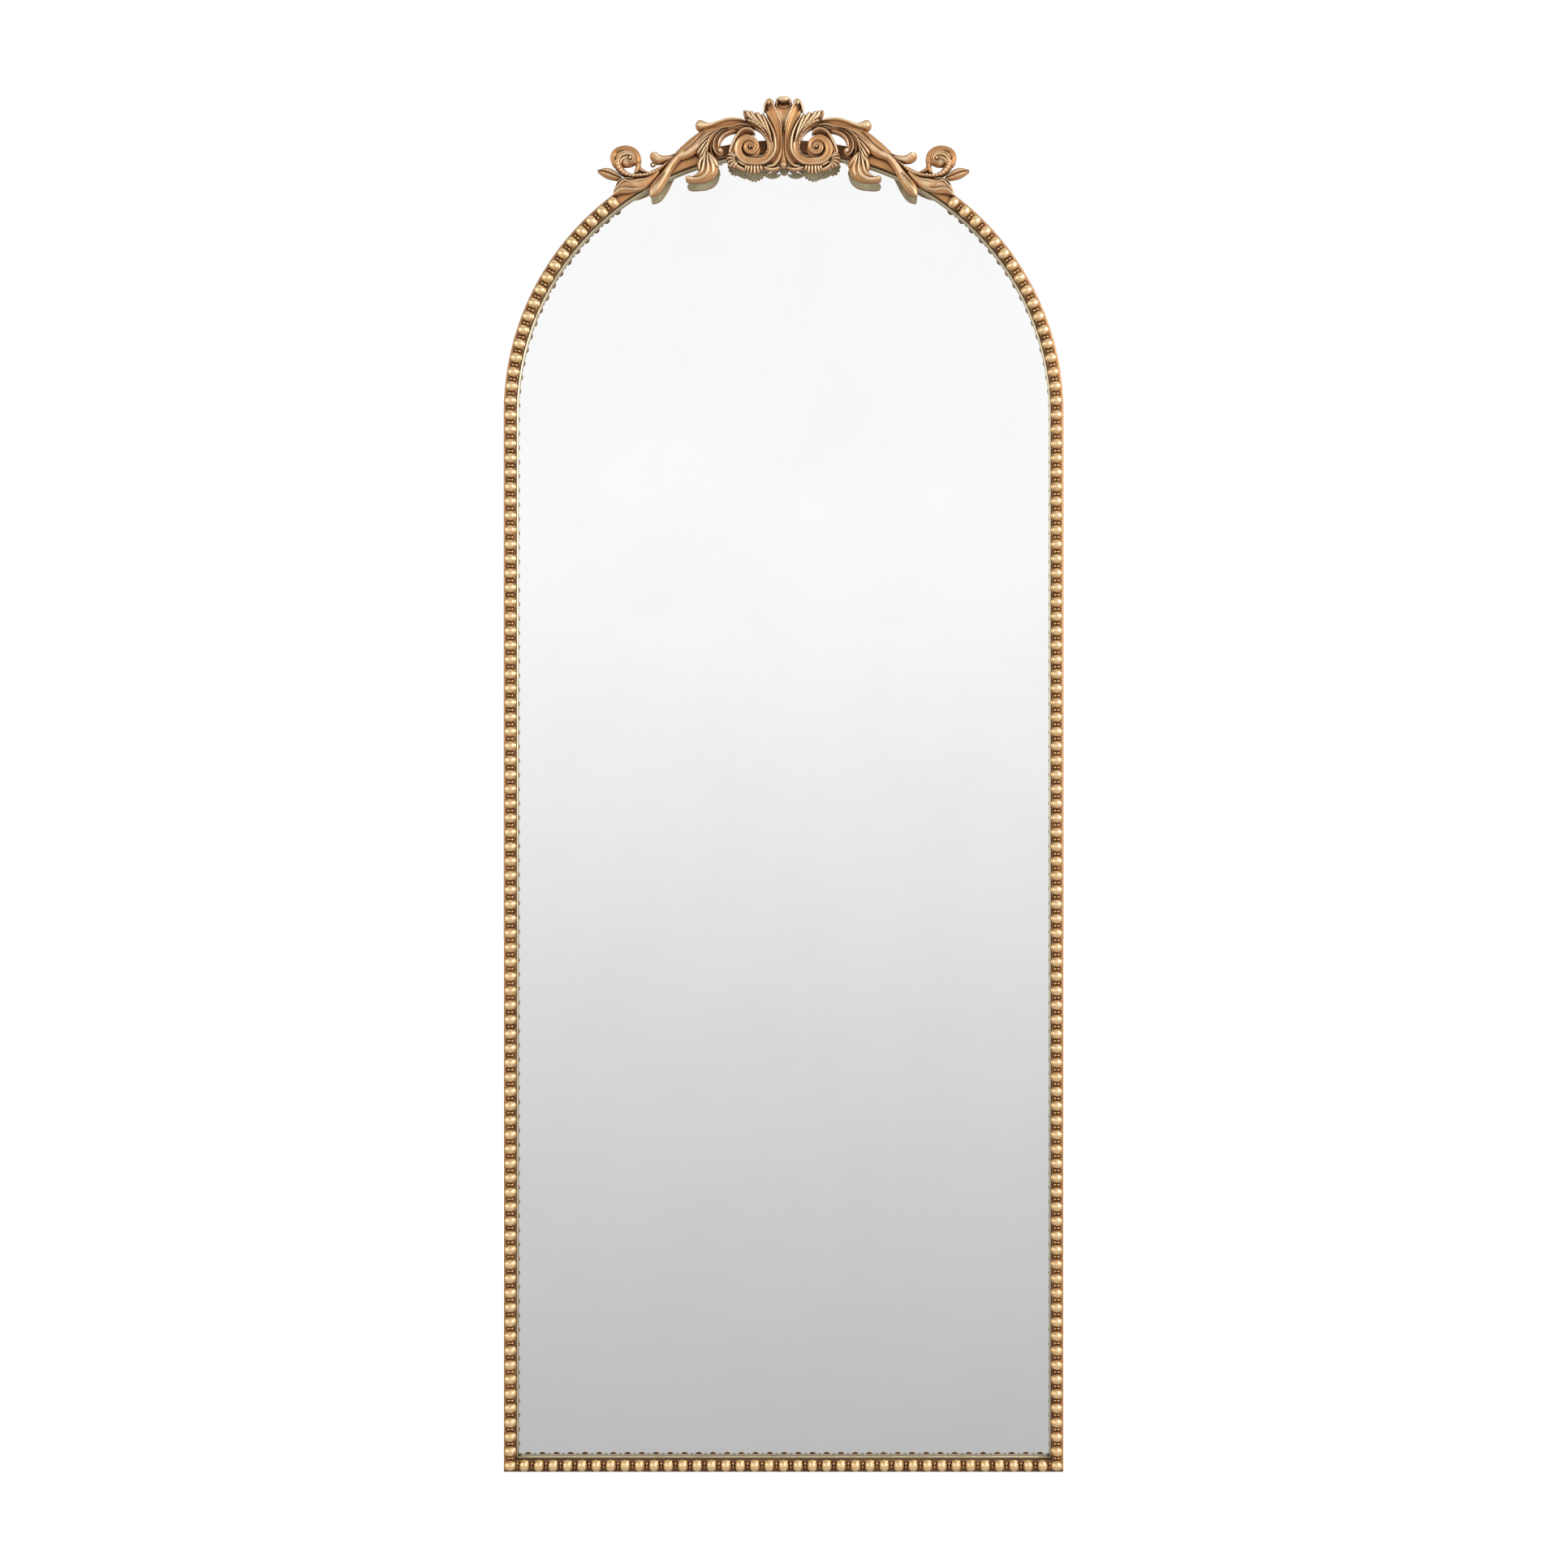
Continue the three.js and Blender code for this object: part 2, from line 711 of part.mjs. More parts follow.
function buildCrest() {
  const inFront = [];
  for (const piece of crest) {
    const sides = piece.paired ? [['_right', 1], ['_left', -1]] : [['', 1]];
    for (const [suffix, side] of sides) {
      const cut = inFront.reduce((rest, cutter) => rest.subtract(cutter), crestSolid(piece, side, 0));
      addPiece(`${piece.name}${suffix}`, toGeometry(mainBody(cut)), gold);
      inFront.push(crestSolid(piece, side, clearance));
    }
  }
}

// ---------------------------------------------------------------- screw eye
const eyeY = faceY + eyeSetback;
const eyeHeight = archTopAt(eyeAcross) + eyeAbove;
const eyeTilt = THREE.MathUtils.degToRad(eyeTiltDegrees);

// How far the shank runs from the ring's middle before it meets the arch.
function eyeReach() {
  const arc = archArcAt(eyeAcross);
  const [x, z] = [eyeAcross - arc.centre, eyeHeight - arc.height];
  const inward = x * Math.cos(eyeTilt) - z * Math.sin(eyeTilt);
  return inward - Math.sqrt(inward ** 2 - (x ** 2 + z ** 2 - arc.radius ** 2));
}

// A round bar that leaves the ring's middle along the shank's slope.
function shankBar(radius, from, to) {
  const geometry = new THREE.CylinderGeometry(radius, radius, to - from, 8);
  geometry.rotateZ(Math.PI / 2);
  geometry.translate((from + to) / 2, 0, 0);
  geometry.rotateY(-eyeTilt);
  geometry.translate(-eyeAcross, eyeY, eyeHeight);
  return geometry;
}

function eyeHole() {
  return shankBar(eyeWire + clearance, eyeRadius, eyeReach() + eyeGrip + clearance);
}

function buildScrewEye() {
  const ring = new THREE.TorusGeometry(eyeRadius, eyeWire, 8, 16);
  ring.rotateX(Math.PI / 2);
  ring.translate(-eyeAcross, eyeY, eyeHeight);
  const shank = shankBar(eyeWire, eyeRadius, eyeReach() + eyeGrip);
  addPiece('screw_eye', toGeometry(joined([ring, shank])), brass);
}

// ---------------------------------------------------------------- hangers
const barrelBore = ringWire + clearance;
const barrelRadius = barrelBore + hangerSheet;
const ringAxisY = backY + barrelRadius;

// A strap of sheet folded round the ring's bar, with a hole for each screw.
function hangerPlate(across) {
  const plateBack = backY + hangerSheet;
  const meet = Math.acos((plateBack - ringAxisY) / barrelRadius);
  const profile = new THREE.Shape();
  profile.moveTo(backY, -hangerLength);
  profile.lineTo(backY, 0);
  profile.absarc(ringAxisY, 0, barrelRadius, Math.PI, -meet, true);
  profile.lineTo(plateBack, -hangerLength);
  profile.closePath();
  const outline = new THREE.Shape(profile.getPoints(8));
  const bore = new THREE.Path();
  bore.absarc(ringAxisY, 0, barrelBore, 0, 2 * Math.PI);
  outline.holes.push(new THREE.Path(bore.getPoints(8)));
  const geometry = new THREE.ExtrudeGeometry(outline, { depth: hangerWidth, bevelEnabled: false });
  const turn = new THREE.Matrix4().makeBasis(
    new THREE.Vector3(0, 1, 0),
    new THREE.Vector3(0, 0, 1),
    new THREE.Vector3(1, 0, 0),
  );
  geometry.applyMatrix4(turn);
  geometry.translate(across - hangerWidth / 2, 0, hangerHeight);
  const drillRadius = screwRadius + clearance;
  const drills = screwDrops.map((drop) => {
    const drill = new THREE.CylinderGeometry(drillRadius, drillRadius, 4 * hangerSheet, 12);
    drill.translate(across, backY + hangerSheet / 2, hangerHeight - drop);
    return drill;
  });
  return drilled(geometry, drills);
}

// The D-ring hangs from its bar: square shoulders, straight sides and a round bow.
function hangerRing(across) {
  const path = new THREE.Path();
  path.moveTo(0, 0);
  path.lineTo(ringHalfWidth - ringCorner, 0);
  path.absarc(ringHalfWidth - ringCorner, -ringCorner, ringCorner, Math.PI / 2, 0, true);
  path.absarc(0, -ringDrop, ringHalfWidth, 0, -Math.PI, true);
  path.absarc(-(ringHalfWidth - ringCorner), -ringCorner, ringCorner, Math.PI, Math.PI / 2, true);
  path.closePath();
  const points = path.getPoints(4).slice(0, -1);
  const loop = points.filter((point, i) => point.distanceTo(points[(i + 1) % points.length]) > 1e-6);
  const sides = 6;
  const section = Array.from({ length: sides }, (_, i) => {
    const angle = (2 * Math.PI * i) / sides;
    return [ringWire * Math.cos(angle), ringWire * Math.sin(angle)];
  });
  const rings = loop.map((point, i) => {
    const before = loop.at(i - 1);
    const after = loop[(i + 1) % loop.length];
    const inward = new THREE.Vector2().subVectors(point, before).normalize();
    inward.add(new THREE.Vector2().subVectors(after, point).normalize()).normalize();
    return section.map(([sideways, back]) => new THREE.Vector3(
      across + point.x - inward.y * sideways,
      ringAxisY + back,
      hangerHeight + point.y + inward.x * sideways,
    ));
  });
  return loft(rings, section, true);
}

function hangerScrew(across, drop) {
  const profile = [
    [0, -screwLength],
    [screwRadius, screwPoint - screwLength],
    [screwRadius, 0],
    [screwHeadRadius, 0],
    [screwHeadRadius * 0.85, screwHeadHeight * 0.65],
    [0, screwHeadHeight],
  ].map(([radius, along]) => new THREE.Vector2(radius, along));
  const geometry = new THREE.LatheGeometry(profile, 8);
  geometry.translate(across, backY + hangerSheet, hangerHeight - drop);
  return geometry;
}

function buildHangers() {
  for (const [name, side] of [['right', 1], ['left', -1]]) {
    addPiece(`hanger_plate_${name}`, hangerPlate(side * hangerAcross), steel);
    addPiece(`hanger_ring_${name}`, hangerRing(side * hangerAcross), steel);
    screwDrops.forEach((drop, i) => {
      const place = i === 0 ? 'upper' : 'lower';
      addPiece(`hanger_screw_${place}_${name}`, hangerScrew(side * hangerAcross, drop), steel);
    });
  }
}

function buildBumpers() {
  for (const [name, side] of [['right', 1], ['left', -1]]) {
    const faceRadius = bumperRadius * bumperTaper;
    const geometry = new THREE.CylinderGeometry(faceRadius, bumperRadius, bumperThickness, 16);
    geometry.translate(side * bumperAcross, faceY + frameDepth + bumperThickness / 2, legWidth / 2);
    addPiece(`bumper_${name}`, geometry, rubber);
  }
}

buildFrame();
buildGlassAndBoard();
buildBeads();
buildCrest();
buildScrewEye();
buildHangers();
buildBumpers();

export default mirror;
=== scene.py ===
"""Arched full-length mirror in a beaded frame with a carved acanthus crest."""

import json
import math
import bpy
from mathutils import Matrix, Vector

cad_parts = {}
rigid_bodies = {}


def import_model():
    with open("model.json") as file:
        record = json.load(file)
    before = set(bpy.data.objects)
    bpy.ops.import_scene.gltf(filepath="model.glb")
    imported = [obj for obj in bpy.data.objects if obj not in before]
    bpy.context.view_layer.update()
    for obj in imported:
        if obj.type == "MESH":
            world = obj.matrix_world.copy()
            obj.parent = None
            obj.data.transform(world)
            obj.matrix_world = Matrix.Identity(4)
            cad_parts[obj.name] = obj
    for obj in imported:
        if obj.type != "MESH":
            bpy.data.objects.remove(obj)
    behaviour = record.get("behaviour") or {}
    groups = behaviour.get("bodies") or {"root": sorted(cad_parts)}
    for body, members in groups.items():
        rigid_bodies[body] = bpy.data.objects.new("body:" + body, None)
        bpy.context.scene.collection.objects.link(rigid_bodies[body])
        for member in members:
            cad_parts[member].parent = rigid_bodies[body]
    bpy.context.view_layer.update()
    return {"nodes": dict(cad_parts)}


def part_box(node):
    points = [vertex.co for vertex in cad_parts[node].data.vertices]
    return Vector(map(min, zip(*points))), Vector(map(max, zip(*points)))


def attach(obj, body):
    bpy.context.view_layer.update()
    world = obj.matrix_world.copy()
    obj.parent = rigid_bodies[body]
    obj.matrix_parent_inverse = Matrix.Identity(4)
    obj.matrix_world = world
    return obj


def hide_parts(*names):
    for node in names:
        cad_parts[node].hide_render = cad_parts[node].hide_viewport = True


bl_info = {
    "name": "Gilt Arched Mirror",
    "version": (1, 0, 0),
    "blender": (4, 5, 0),
    "location": "View3D > Sidebar > Mirror",
    "description": "Builds the mouldings, beads, carved crest, glass and stage of an arched mirror",
    "category": "Object",
}

import bmesh
import bpy
from mathutils import Matrix, Vector

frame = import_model()

MM = 0.001
HALF_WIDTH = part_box("stile_right")[1].x
FACE_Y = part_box("stile_right")[0].y
BACK_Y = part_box("stile_right")[1].y
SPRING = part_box("stile_right")[1].z
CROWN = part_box("arch_crown_right")[1].z
SIDES = (("right", 1), ("left", -1))

RELIEF = "relief"
SHARP_ANGLE = math.radians(48)
MIX_A, MIX_B, MIX_RESULT = 6, 7, 2  # the colour sockets of a Mix node
BOARD_PALE, FIBRE_PALE = 1.35, 2.4  # how much paler than the board its mottle and its fibres are

HEAD_JOINT = math.pi / 4
FACE_EDGE = 0.0016
NOSE_EDGE = 0.0012
EDGE_STEPS = 4
DEEPEST_INSET = 0.03
EDGE_MARGIN = 0.0004
INNER_MARGIN = 0.0006
NOSE_MARGIN = 0.0014
CREST_SHADE = 0.086  # half the width over which the crest shades the arch
# timber relief: rubbed face, outer side, the crest's painted shadow, painted shade on the lip's inner wall
LEAF_RUBBED, LEAF_SIDE, LEAF_SHADED, LEAF_WALL_SHADE = 0.8, 0.62, 0.16, 0.1
SLIP_NOSE, SLIP_FOOT, SLIP_PALER = 1.0, 0.4, 0.3

BED_SIZE = (0.0045, 0.0005, 0.0062)
REEL_SIZE = (0.0008, 0.0026, 0.0027)
PEARL_LIFT = 0.0012
PEARL_APART = 0.0019

HANGER = (0.215, 0.012, 1.180)
WIRE = 0.00143
WIRE_SIDES = 14
BOW = ((6.5, -3, 3, 90, 0, 8), (0, -8, 9.5, 0, -180, 36), (-6.5, -3, 3, 180, 90, 8))
HEAD_SEAT = 0.0102
SCREW_DROPS = {"upper": 0.027, "lower": 0.041}
SCREW_PROFILE = (
    (0, -7), (1.7, -6), (1.7, 0), (3.8, 0), (3.8, 0.4), (3.5, 0.95), (2.8, 1.4), (1.9, 1.68),
    (1.0, 1.78), (0, 1.8))
SCREW_SIDES = 32
CROSS_FROM, CROSS_HALF, CROSS_DEPTH = 0.0014, 0.0001, 0.0008
WELD = 1e-6

ROOM_GREYS = (
    (0.0, 0.42), (0.344, 0.52), (0.399, 0.628), (0.445, 0.73), (0.493, 0.858), (0.541, 0.97), (0.57, 1.0),
    (0.66, 0.985), (0.73, 0.4), (0.85, 0.22), (0.95, 0.5), (1.0, 1.1))
FLOOR_LIFT = 0.72
CAMERA_X, CAMERA_HEIGHT = 0.067, 0.794
CAMERA_SHIFT = (-0.036, 0.009)
SENSOR_WIDTH = 36.0


# ---------------------------------------------------------------- settings
class MirrorSizes(bpy.types.PropertyGroup):
    shoulder_radius: bpy.props.FloatProperty(
        name="Shoulder radius", description="Outer radius of the arch beside the stiles", default=0.321,
        unit="LENGTH")
    crown_radius: bpy.props.FloatProperty(
        name="Crown radius", description="Outer radius of the arch over the middle", default=0.380,
        unit="LENGTH")
    lip_width: bpy.props.FloatProperty(
        name="Lip width", description="Width of the timber's face", default=0.014, unit="LENGTH")
    lip_depth: bpy.props.FloatProperty(
        name="Lip depth", description="Depth of the timber's lip in front of the slip", default=0.007,
        unit="LENGTH")
    leg_width: bpy.props.FloatProperty(
        name="Leg width", description="Width of the timber beside the glass", default=0.009, unit="LENGTH")
    slip_width: bpy.props.FloatProperty(
        name="Slip width", description="Width of the champagne slip next to the glass", default=0.0066,
        unit="LENGTH")
    slip_depth: bpy.props.FloatProperty(
        name="Slip depth", description="Depth of the champagne slip", default=0.005, unit="LENGTH")
    fit: bpy.props.FloatProperty(
        name="Fit", description="Gap between the timber's leg and what it holds", default=0.0003,
        unit="LENGTH")


class BeadSizes(bpy.types.PropertyGroup):
    pitch: bpy.props.FloatProperty(
        name="Pitch", description="From the middle of one bead to the next", default=0.01694, unit="LENGTH")
    length: bpy.props.FloatProperty(
        name="Length", description="Bead size along the frame", default=0.0121, unit="LENGTH")
    width: bpy.props.FloatProperty(
        name="Width", description="Bead size across the frame", default=0.0141, unit="LENGTH")
    height: bpy.props.FloatProperty(
        name="Height", description="How far a bead stands off the face", default=0.0079, unit="LENGTH")
    belly: bpy.props.FloatProperty(
        name="Belly", description="Height of a bead's widest part above the face", default=0.0025,
        unit="LENGTH")
    inset: bpy.props.FloatProperty(
        name="Inset", description="From the frame's outer edge to the beads' middle line", default=0.0084,
        unit="LENGTH")
    pearl: bpy.props.FloatProperty(
        name="Pearl", description="Diameter of the small pearls between two beads", default=0.0033,
        unit="LENGTH")


class CarvingSizes(bpy.types.PropertyGroup):
    step: bpy.props.FloatProperty(
        name="Step", description="Distance between two sections of a carved strand", default=0.0009,
        unit="LENGTH")
    across: bpy.props.IntProperty(
        name="Across", description="Faces across a carved strand", default=18, min=6, max=40)


class MirrorColours(bpy.types.PropertyGroup):
    leaf: bpy.props.FloatVectorProperty(
        name="Leaf", description="Gold on the carved crest", default=(0.50, 0.228, 0.074), size=3,
        subtype="COLOR")
    # bright_leaf is gold rubbed on the ridges and also their painted highlight
    bright_leaf: bpy.props.FloatVectorProperty(
        name="Bright leaf", description="Gold rubbed bright on the ridges", default=(0.93, 0.73, 0.47),
        size=3, subtype="COLOR")
    # patina is the dark of age in the hollows, and also the colour of their painted shade
    patina_and_shade: bpy.props.FloatVectorProperty(
        name="Patina and shade", description="Dark wash left in the hollows", default=(0.085, 0.026, 0.010), size=3,
        subtype="COLOR")
    bead_leaf: bpy.props.FloatVectorProperty(
        name="Bead leaf", description="Gold on the beads", default=(0.72, 0.41, 0.165), size=3,
        subtype="COLOR")
    face_leaf: bpy.props.FloatVectorProperty(
        name="Face leaf", description="Copper gold on the timber", default=(0.50, 0.238, 0.088), size=3,
        subtype="COLOR")
    champagne: bpy.props.FloatVectorProperty(
        name="Champagne", description="Silver gilt on the slip", default=(0.26, 0.18, 0.075), size=3,
        subtype="COLOR")
    backing: bpy.props.FloatVectorProperty(
        name="Backing", description="Board behind the glass", default=(0.21, 0.115, 0.055), size=3,
        subtype="COLOR")


class StageSettings(bpy.types.PropertyGroup):
    lens: bpy.props.FloatProperty(
        name="Lens", description="Focal length of the camera", default=46.6, unit="CAMERA")
    distance: bpy.props.FloatProperty(
        name="Distance", description="From the camera to the frame's face", default=2.391, unit="LENGTH")
    key: bpy.props.FloatProperty(
        name="Key light", description="Power of the light at the front right", default=70.0, unit="POWER")
    fill: bpy.props.FloatProperty(
        name="Fill light", description="Power of the light at the left", default=20.0, unit="POWER")
    rim: bpy.props.FloatProperty(
        name="Back light", description="Power of the light behind the mirror", default=10.0, unit="POWER")
    ambient: bpy.props.FloatProperty(
        name="Ambient", description="Strength of the room's soft light", default=0.72, subtype="FACTOR")


def sizes():
    return bpy.context.scene.mirror_sizes


def colours():
    return bpy.context.scene.mirror_colours


# ---------------------------------------------------------------- material building
def socket_of(node, name):
    return next(s for s in node.inputs if s.name == name and s.enabled)


class Shading:
    """A node tree with short calls for the nodes that the finishes share."""

    def __init__(self, tree):
        self.tree = tree

    def node(self, kind, settings=None, **inputs):
        made = self.tree.nodes.new(kind)
        for key, value in (settings or {}).items():
            setattr(made, key, value)
        for name, value in inputs.items():
            self.feed(socket_of(made, name), value)
        return made

    def feed(self, target, value):
        if isinstance(value, bpy.types.NodeSocket):
            self.tree.links.new(value, target)
        elif isinstance(value, (tuple, list)) and len(value) == 3 and target.type == "RGBA":
            target.default_value = (*value, 1.0)
        else:
            target.default_value = value

    def math(self, operation, *values, clamp=False):
        made = self.node("ShaderNodeMath", {"operation": operation, "use_clamp": clamp})
        for index, value in enumerate(values):
            self.feed(made.inputs[index], value)
        return made.outputs[0]

    def mix(self, factor, a, b):
        made = self.node("ShaderNodeMix", {"data_type": "RGBA", "clamp_factor": True})
        self.feed(made.inputs[0], factor)
        self.feed(made.inputs[MIX_A], a)
        self.feed(made.inputs[MIX_B], b)
        return made.outputs[MIX_RESULT]

    def place(self):
        return self.node("ShaderNodeTexCoord").outputs["Object"]

    def bump(self, skin, height, strength, distance):
        lump = self.node("ShaderNodeBump", Strength=strength, Distance=distance, Height=height)
        self.feed(skin.inputs["Normal"], lump.outputs[0])

    def noise(self, where, scale, detail=3.0, roughness=0.55):
        return self.node("ShaderNodeTexNoise", Vector=where, Scale=scale, Detail=detail,
                         Roughness=roughness).outputs[0]

    def stretch(self, where, scale):
        return self.node("ShaderNodeMapping", Vector=where, Scale=scale).outputs[0]

    def remap(self, value, low, high, start=0.0, end=1.0):
        made = self.node("ShaderNodeMapRange", {"clamp": True, "interpolation_type": "SMOOTHSTEP"})
        for index, item in enumerate((value, low, high, start, end)):
            self.feed(made.inputs[index], item)
        return made.outputs[0]


def new_group(name, inputs, outputs):
    """An empty node group with named sockets, and its shading helper, input node and output node."""
    tree = bpy.data.node_groups.new(name, "ShaderNodeTree")
    kinds = {"float": "NodeSocketFloat", "colour": "NodeSocketColor"}
    for label, kind, default in inputs:
        made = tree.interface.new_socket(label, in_out="INPUT", socket_type=kinds[kind])
        made.default_value = (*default, 1.0) if kind == "colour" else default
    for label, kind in outputs:
        tree.interface.new_socket(label, in_out="OUTPUT", socket_type=kinds[kind])
    return Shading(tree), tree.nodes.new("NodeGroupInput"), tree.nodes.new("NodeGroupOutput")


def shaded_aged_leaf_group():
    """Leaf over a dark wash: bright on ridges, rubbed and painted as highlight; brown in hollows, aged and
    painted as shade; with worn specks and brush marks.
    """
    if "shaded_aged_leaf" in bpy.data.node_groups:
        return bpy.data.node_groups["shaded_aged_leaf"]
    sh, given, out = new_group(
        "shaded_aged_leaf",
        [("Leaf", "colour", (0.6, 0.33, 0.14)), ("Bright", "colour", (0.9, 0.7, 0.42)),
         ("Patina and shade", "colour", (0.08, 0.03, 0.01)), ("Relief", "float", 0.5), ("Cavity", "float", 1.0),
         ("Wash and shade", "float", 0.5), ("Smooth", "float", 0.3), ("Grain", "float", 0.3), ("Metal", "float", 0.6)],
        [("Colour", "colour"), ("Roughness", "float"), ("Metal", "float"), ("Height", "float")])
    leaf, bright, patina_and_shade, relief, cavity, wash_and_shade, smooth, grain, metal = given.outputs[:9]
    place = sh.place()
    cloud = sh.noise(place, 45.0, 4.0, 0.6)
    speck = sh.noise(place, 700.0, 2.0, 0.6)
    brush = sh.noise(sh.stretch(place, (260.0, 260.0, 90.0)), 1.0, 3.0, 0.6)
    uneven = sh.math("SUBTRACT", cloud, 0.5)
    # hollow is ambient occlusion: painted shade in crevices and between parts; low relief adds patina
    hollow = sh.math("SUBTRACT", 1.0, cavity, clamp=True)
    low = sh.remap(relief, 0.55, 0.0)
    dark = sh.math("MAXIMUM", sh.remap(hollow, 0.12, 0.66), sh.math("MULTIPLY", low, 0.9))
    dark = sh.math("MAXIMUM", sh.math("ADD", dark, sh.math("MULTIPLY", uneven, 0.55)), 0.0)
    dark = sh.math("MULTIPLY", dark, sh.math("MULTIPLY", wash_and_shade, 2.0), clamp=True)
    # ridges are rubbed bright, which also paints their highlight
    ridge = sh.remap(sh.math("ADD", relief, sh.math("MULTIPLY", uneven, 0.6)), 0.76, 1.02)
    ridge = sh.math("MULTIPLY", ridge, sh.math("SUBTRACT", 1.0, sh.remap(hollow, 0.1, 0.5)))
    tone = sh.mix(sh.math("MULTIPLY", brush, 0.25), leaf, bright)
    tone = sh.mix(sh.math("MULTIPLY", ridge, 0.8), tone, bright)
    rubbed = sh.math("MULTIPLY", sh.remap(speck, 0.62, 0.74), grain)
    tone = sh.mix(dark, tone, patina_and_shade)
    tone = sh.mix(sh.math("MULTIPLY", rubbed, 0.45), tone, patina_and_shade)
    rough = sh.math("ADD", smooth, sh.math("MULTIPLY", dark, 0.3))
    mottled = sh.math("MULTIPLY", sh.math("SUBTRACT", speck, 0.4), 0.22)
    bare = sh.math("SUBTRACT", 1.0, sh.math("MULTIPLY", dark, 0.6))
    sh.feed(out.inputs["Colour"], tone)
    sh.feed(out.inputs["Roughness"], sh.math("ADD", rough, mottled, clamp=True))
    sh.feed(out.inputs["Metal"], sh.math("MULTIPLY", metal, bare))
    sh.feed(out.inputs["Height"],
            sh.math("ADD", sh.math("MULTIPLY", brush, 0.6), sh.math("MULTIPLY", speck, 0.4)))
    return sh.tree


def new_material(name):
    """A material with a bare Principled shader, and its shading helper."""
    made = bpy.data.materials.new(name)
    made.use_nodes = True
    sh = Shading(made.node_tree)
    return made, sh, made.node_tree.nodes["Principled BSDF"]


def gilt_material(name, leaf, bright, patina_and_shade, wash_and_shade, smooth, grain, metal, bump, reach):
    """Aged leaf, with painted highlight and painted shade, on a carved or moulded piece; its relief comes
    from the mesh.
    """
    made, sh, skin = new_material(name)
    relief = sh.node("ShaderNodeAttribute",
                     {"attribute_name": RELIEF, "attribute_type": "GEOMETRY"}).outputs["Fac"]
    # ambient occlusion, which paints the shade in the hollows
    nook = sh.node("ShaderNodeAmbientOcclusion", {"samples": 6}, Distance=reach).outputs["AO"]
    group = sh.node("ShaderNodeGroup", {"node_tree": shaded_aged_leaf_group()})
    for label, value in (("Leaf", leaf), ("Bright", bright), ("Patina and shade", patina_and_shade), ("Relief", relief),
                         ("Cavity", nook), ("Wash and shade", wash_and_shade), ("Smooth", smooth), ("Grain", grain),
                         ("Metal", metal)):
        sh.feed(group.inputs[label], value)
    sh.feed(skin.inputs["Base Color"], group.outputs["Colour"])
    sh.feed(skin.inputs["Roughness"], group.outputs["Roughness"])
    sh.feed(skin.inputs["Metallic"], group.outputs["Metal"])
    skin.inputs["Specular IOR Level"].default_value = 0.2
    sh.bump(skin, group.outputs["Height"], bump, 0.0004)
    return made


def gilding(name):
    """One of the gilt materials, made when it is first asked for."""
    c = colours()
    looks = {"crest_gold": dict(leaf=c.leaf[:], bright=c.bright_leaf[:], patina_and_shade=c.patina_and_shade[:], wash_and_shade=0.5,
                                smooth=0.38, grain=0.35, metal=0.5, bump=0.35, reach=0.005),
             "bead_gold": dict(leaf=c.bead_leaf[:], bright=(0.96, 0.70, 0.395), patina_and_shade=c.patina_and_shade[:], wash_and_shade=0.5,
                               smooth=0.3, grain=0.12, metal=0.72, bump=0.12, reach=0.004),
             "face_gold": dict(leaf=c.face_leaf[:], bright=(0.70, 0.44, 0.23), patina_and_shade=(0.022, 0.010, 0.005),
                               wash_and_shade=0.52, smooth=0.4, grain=0.5, metal=0.55, bump=0.3, reach=0.005),
             "slip_silver": dict(leaf=c.champagne[:], bright=(0.90, 0.77, 0.50), patina_and_shade=(0.05, 0.03, 0.012),
                                 wash_and_shade=0.46, smooth=0.26, grain=0.2, metal=0.75, bump=0.15, reach=0.003)}
    return bpy.data.materials.get(name) or gilt_material(name, **looks[name])


def worn_metal(name, base, dull, rough):
    """Plated or plain metal with soft handling marks."""
    made, sh, skin = new_material(name)
    place = sh.place()
    cloud = sh.noise(place, 220.0, 4.0, 0.6)
    fine = sh.noise(sh.stretch(place, (900.0, 900.0, 140.0)), 1.0, 2.0)
    sh.feed(skin.inputs["Base Color"], sh.mix(sh.remap(cloud, 0.35, 0.7), base, dull))
    uneven = sh.math("MULTIPLY", sh.math("SUBTRACT", fine, 0.4), 0.3)
    sh.feed(skin.inputs["Roughness"], sh.math("ADD", rough, uneven, clamp=True))
    skin.inputs["Metallic"].default_value = 1.0
    sh.bump(skin, fine, 0.12, 0.0002)
    return made


def silvered_glass():
    """A bright mirror with the faintest haze of polish marks."""
    made, sh, skin = new_material("silvered_glass")
    place = sh.place()
    haze = sh.noise(place, 7.0, 5.0, 0.65)
    skin.inputs["Metallic"].default_value = 1.0
    sh.feed(skin.inputs["Base Color"],
            sh.mix(sh.remap(haze, 0.35, 0.75), (0.955, 0.96, 0.958), (0.925, 0.935, 0.93)))
    sh.feed(skin.inputs["Roughness"], sh.remap(haze, 0.45, 0.8, 0.0, 0.02))
    return made


def backing_board():
    """Brown hardboard: pressed fibres, a mottled face and a slight sheen."""
    made, sh, skin = new_material("backing_board")
    place = sh.place()
    mottle = sh.noise(place, 9.0, 6.0, 0.6)
    fibre = sh.noise(sh.stretch(place, (420.0, 420.0, 150.0)), 1.0, 4.0, 0.7)
    base = colours().backing[:]
    pale, paler = (tuple(much * v for v in base) for much in (BOARD_PALE, FIBRE_PALE))
    tone = sh.mix(sh.remap(mottle, 0.3, 0.72), base, pale)
    tone = sh.mix(sh.math("MULTIPLY", sh.remap(fibre, 0.5, 0.8), 0.5), tone, paler)
    sh.feed(skin.inputs["Base Color"], tone)
    sh.feed(skin.inputs["Roughness"], sh.remap(fibre, 0.2, 0.8, 0.62, 0.82))
    sh.bump(skin, fibre, 0.3, 0.0003)
    return made


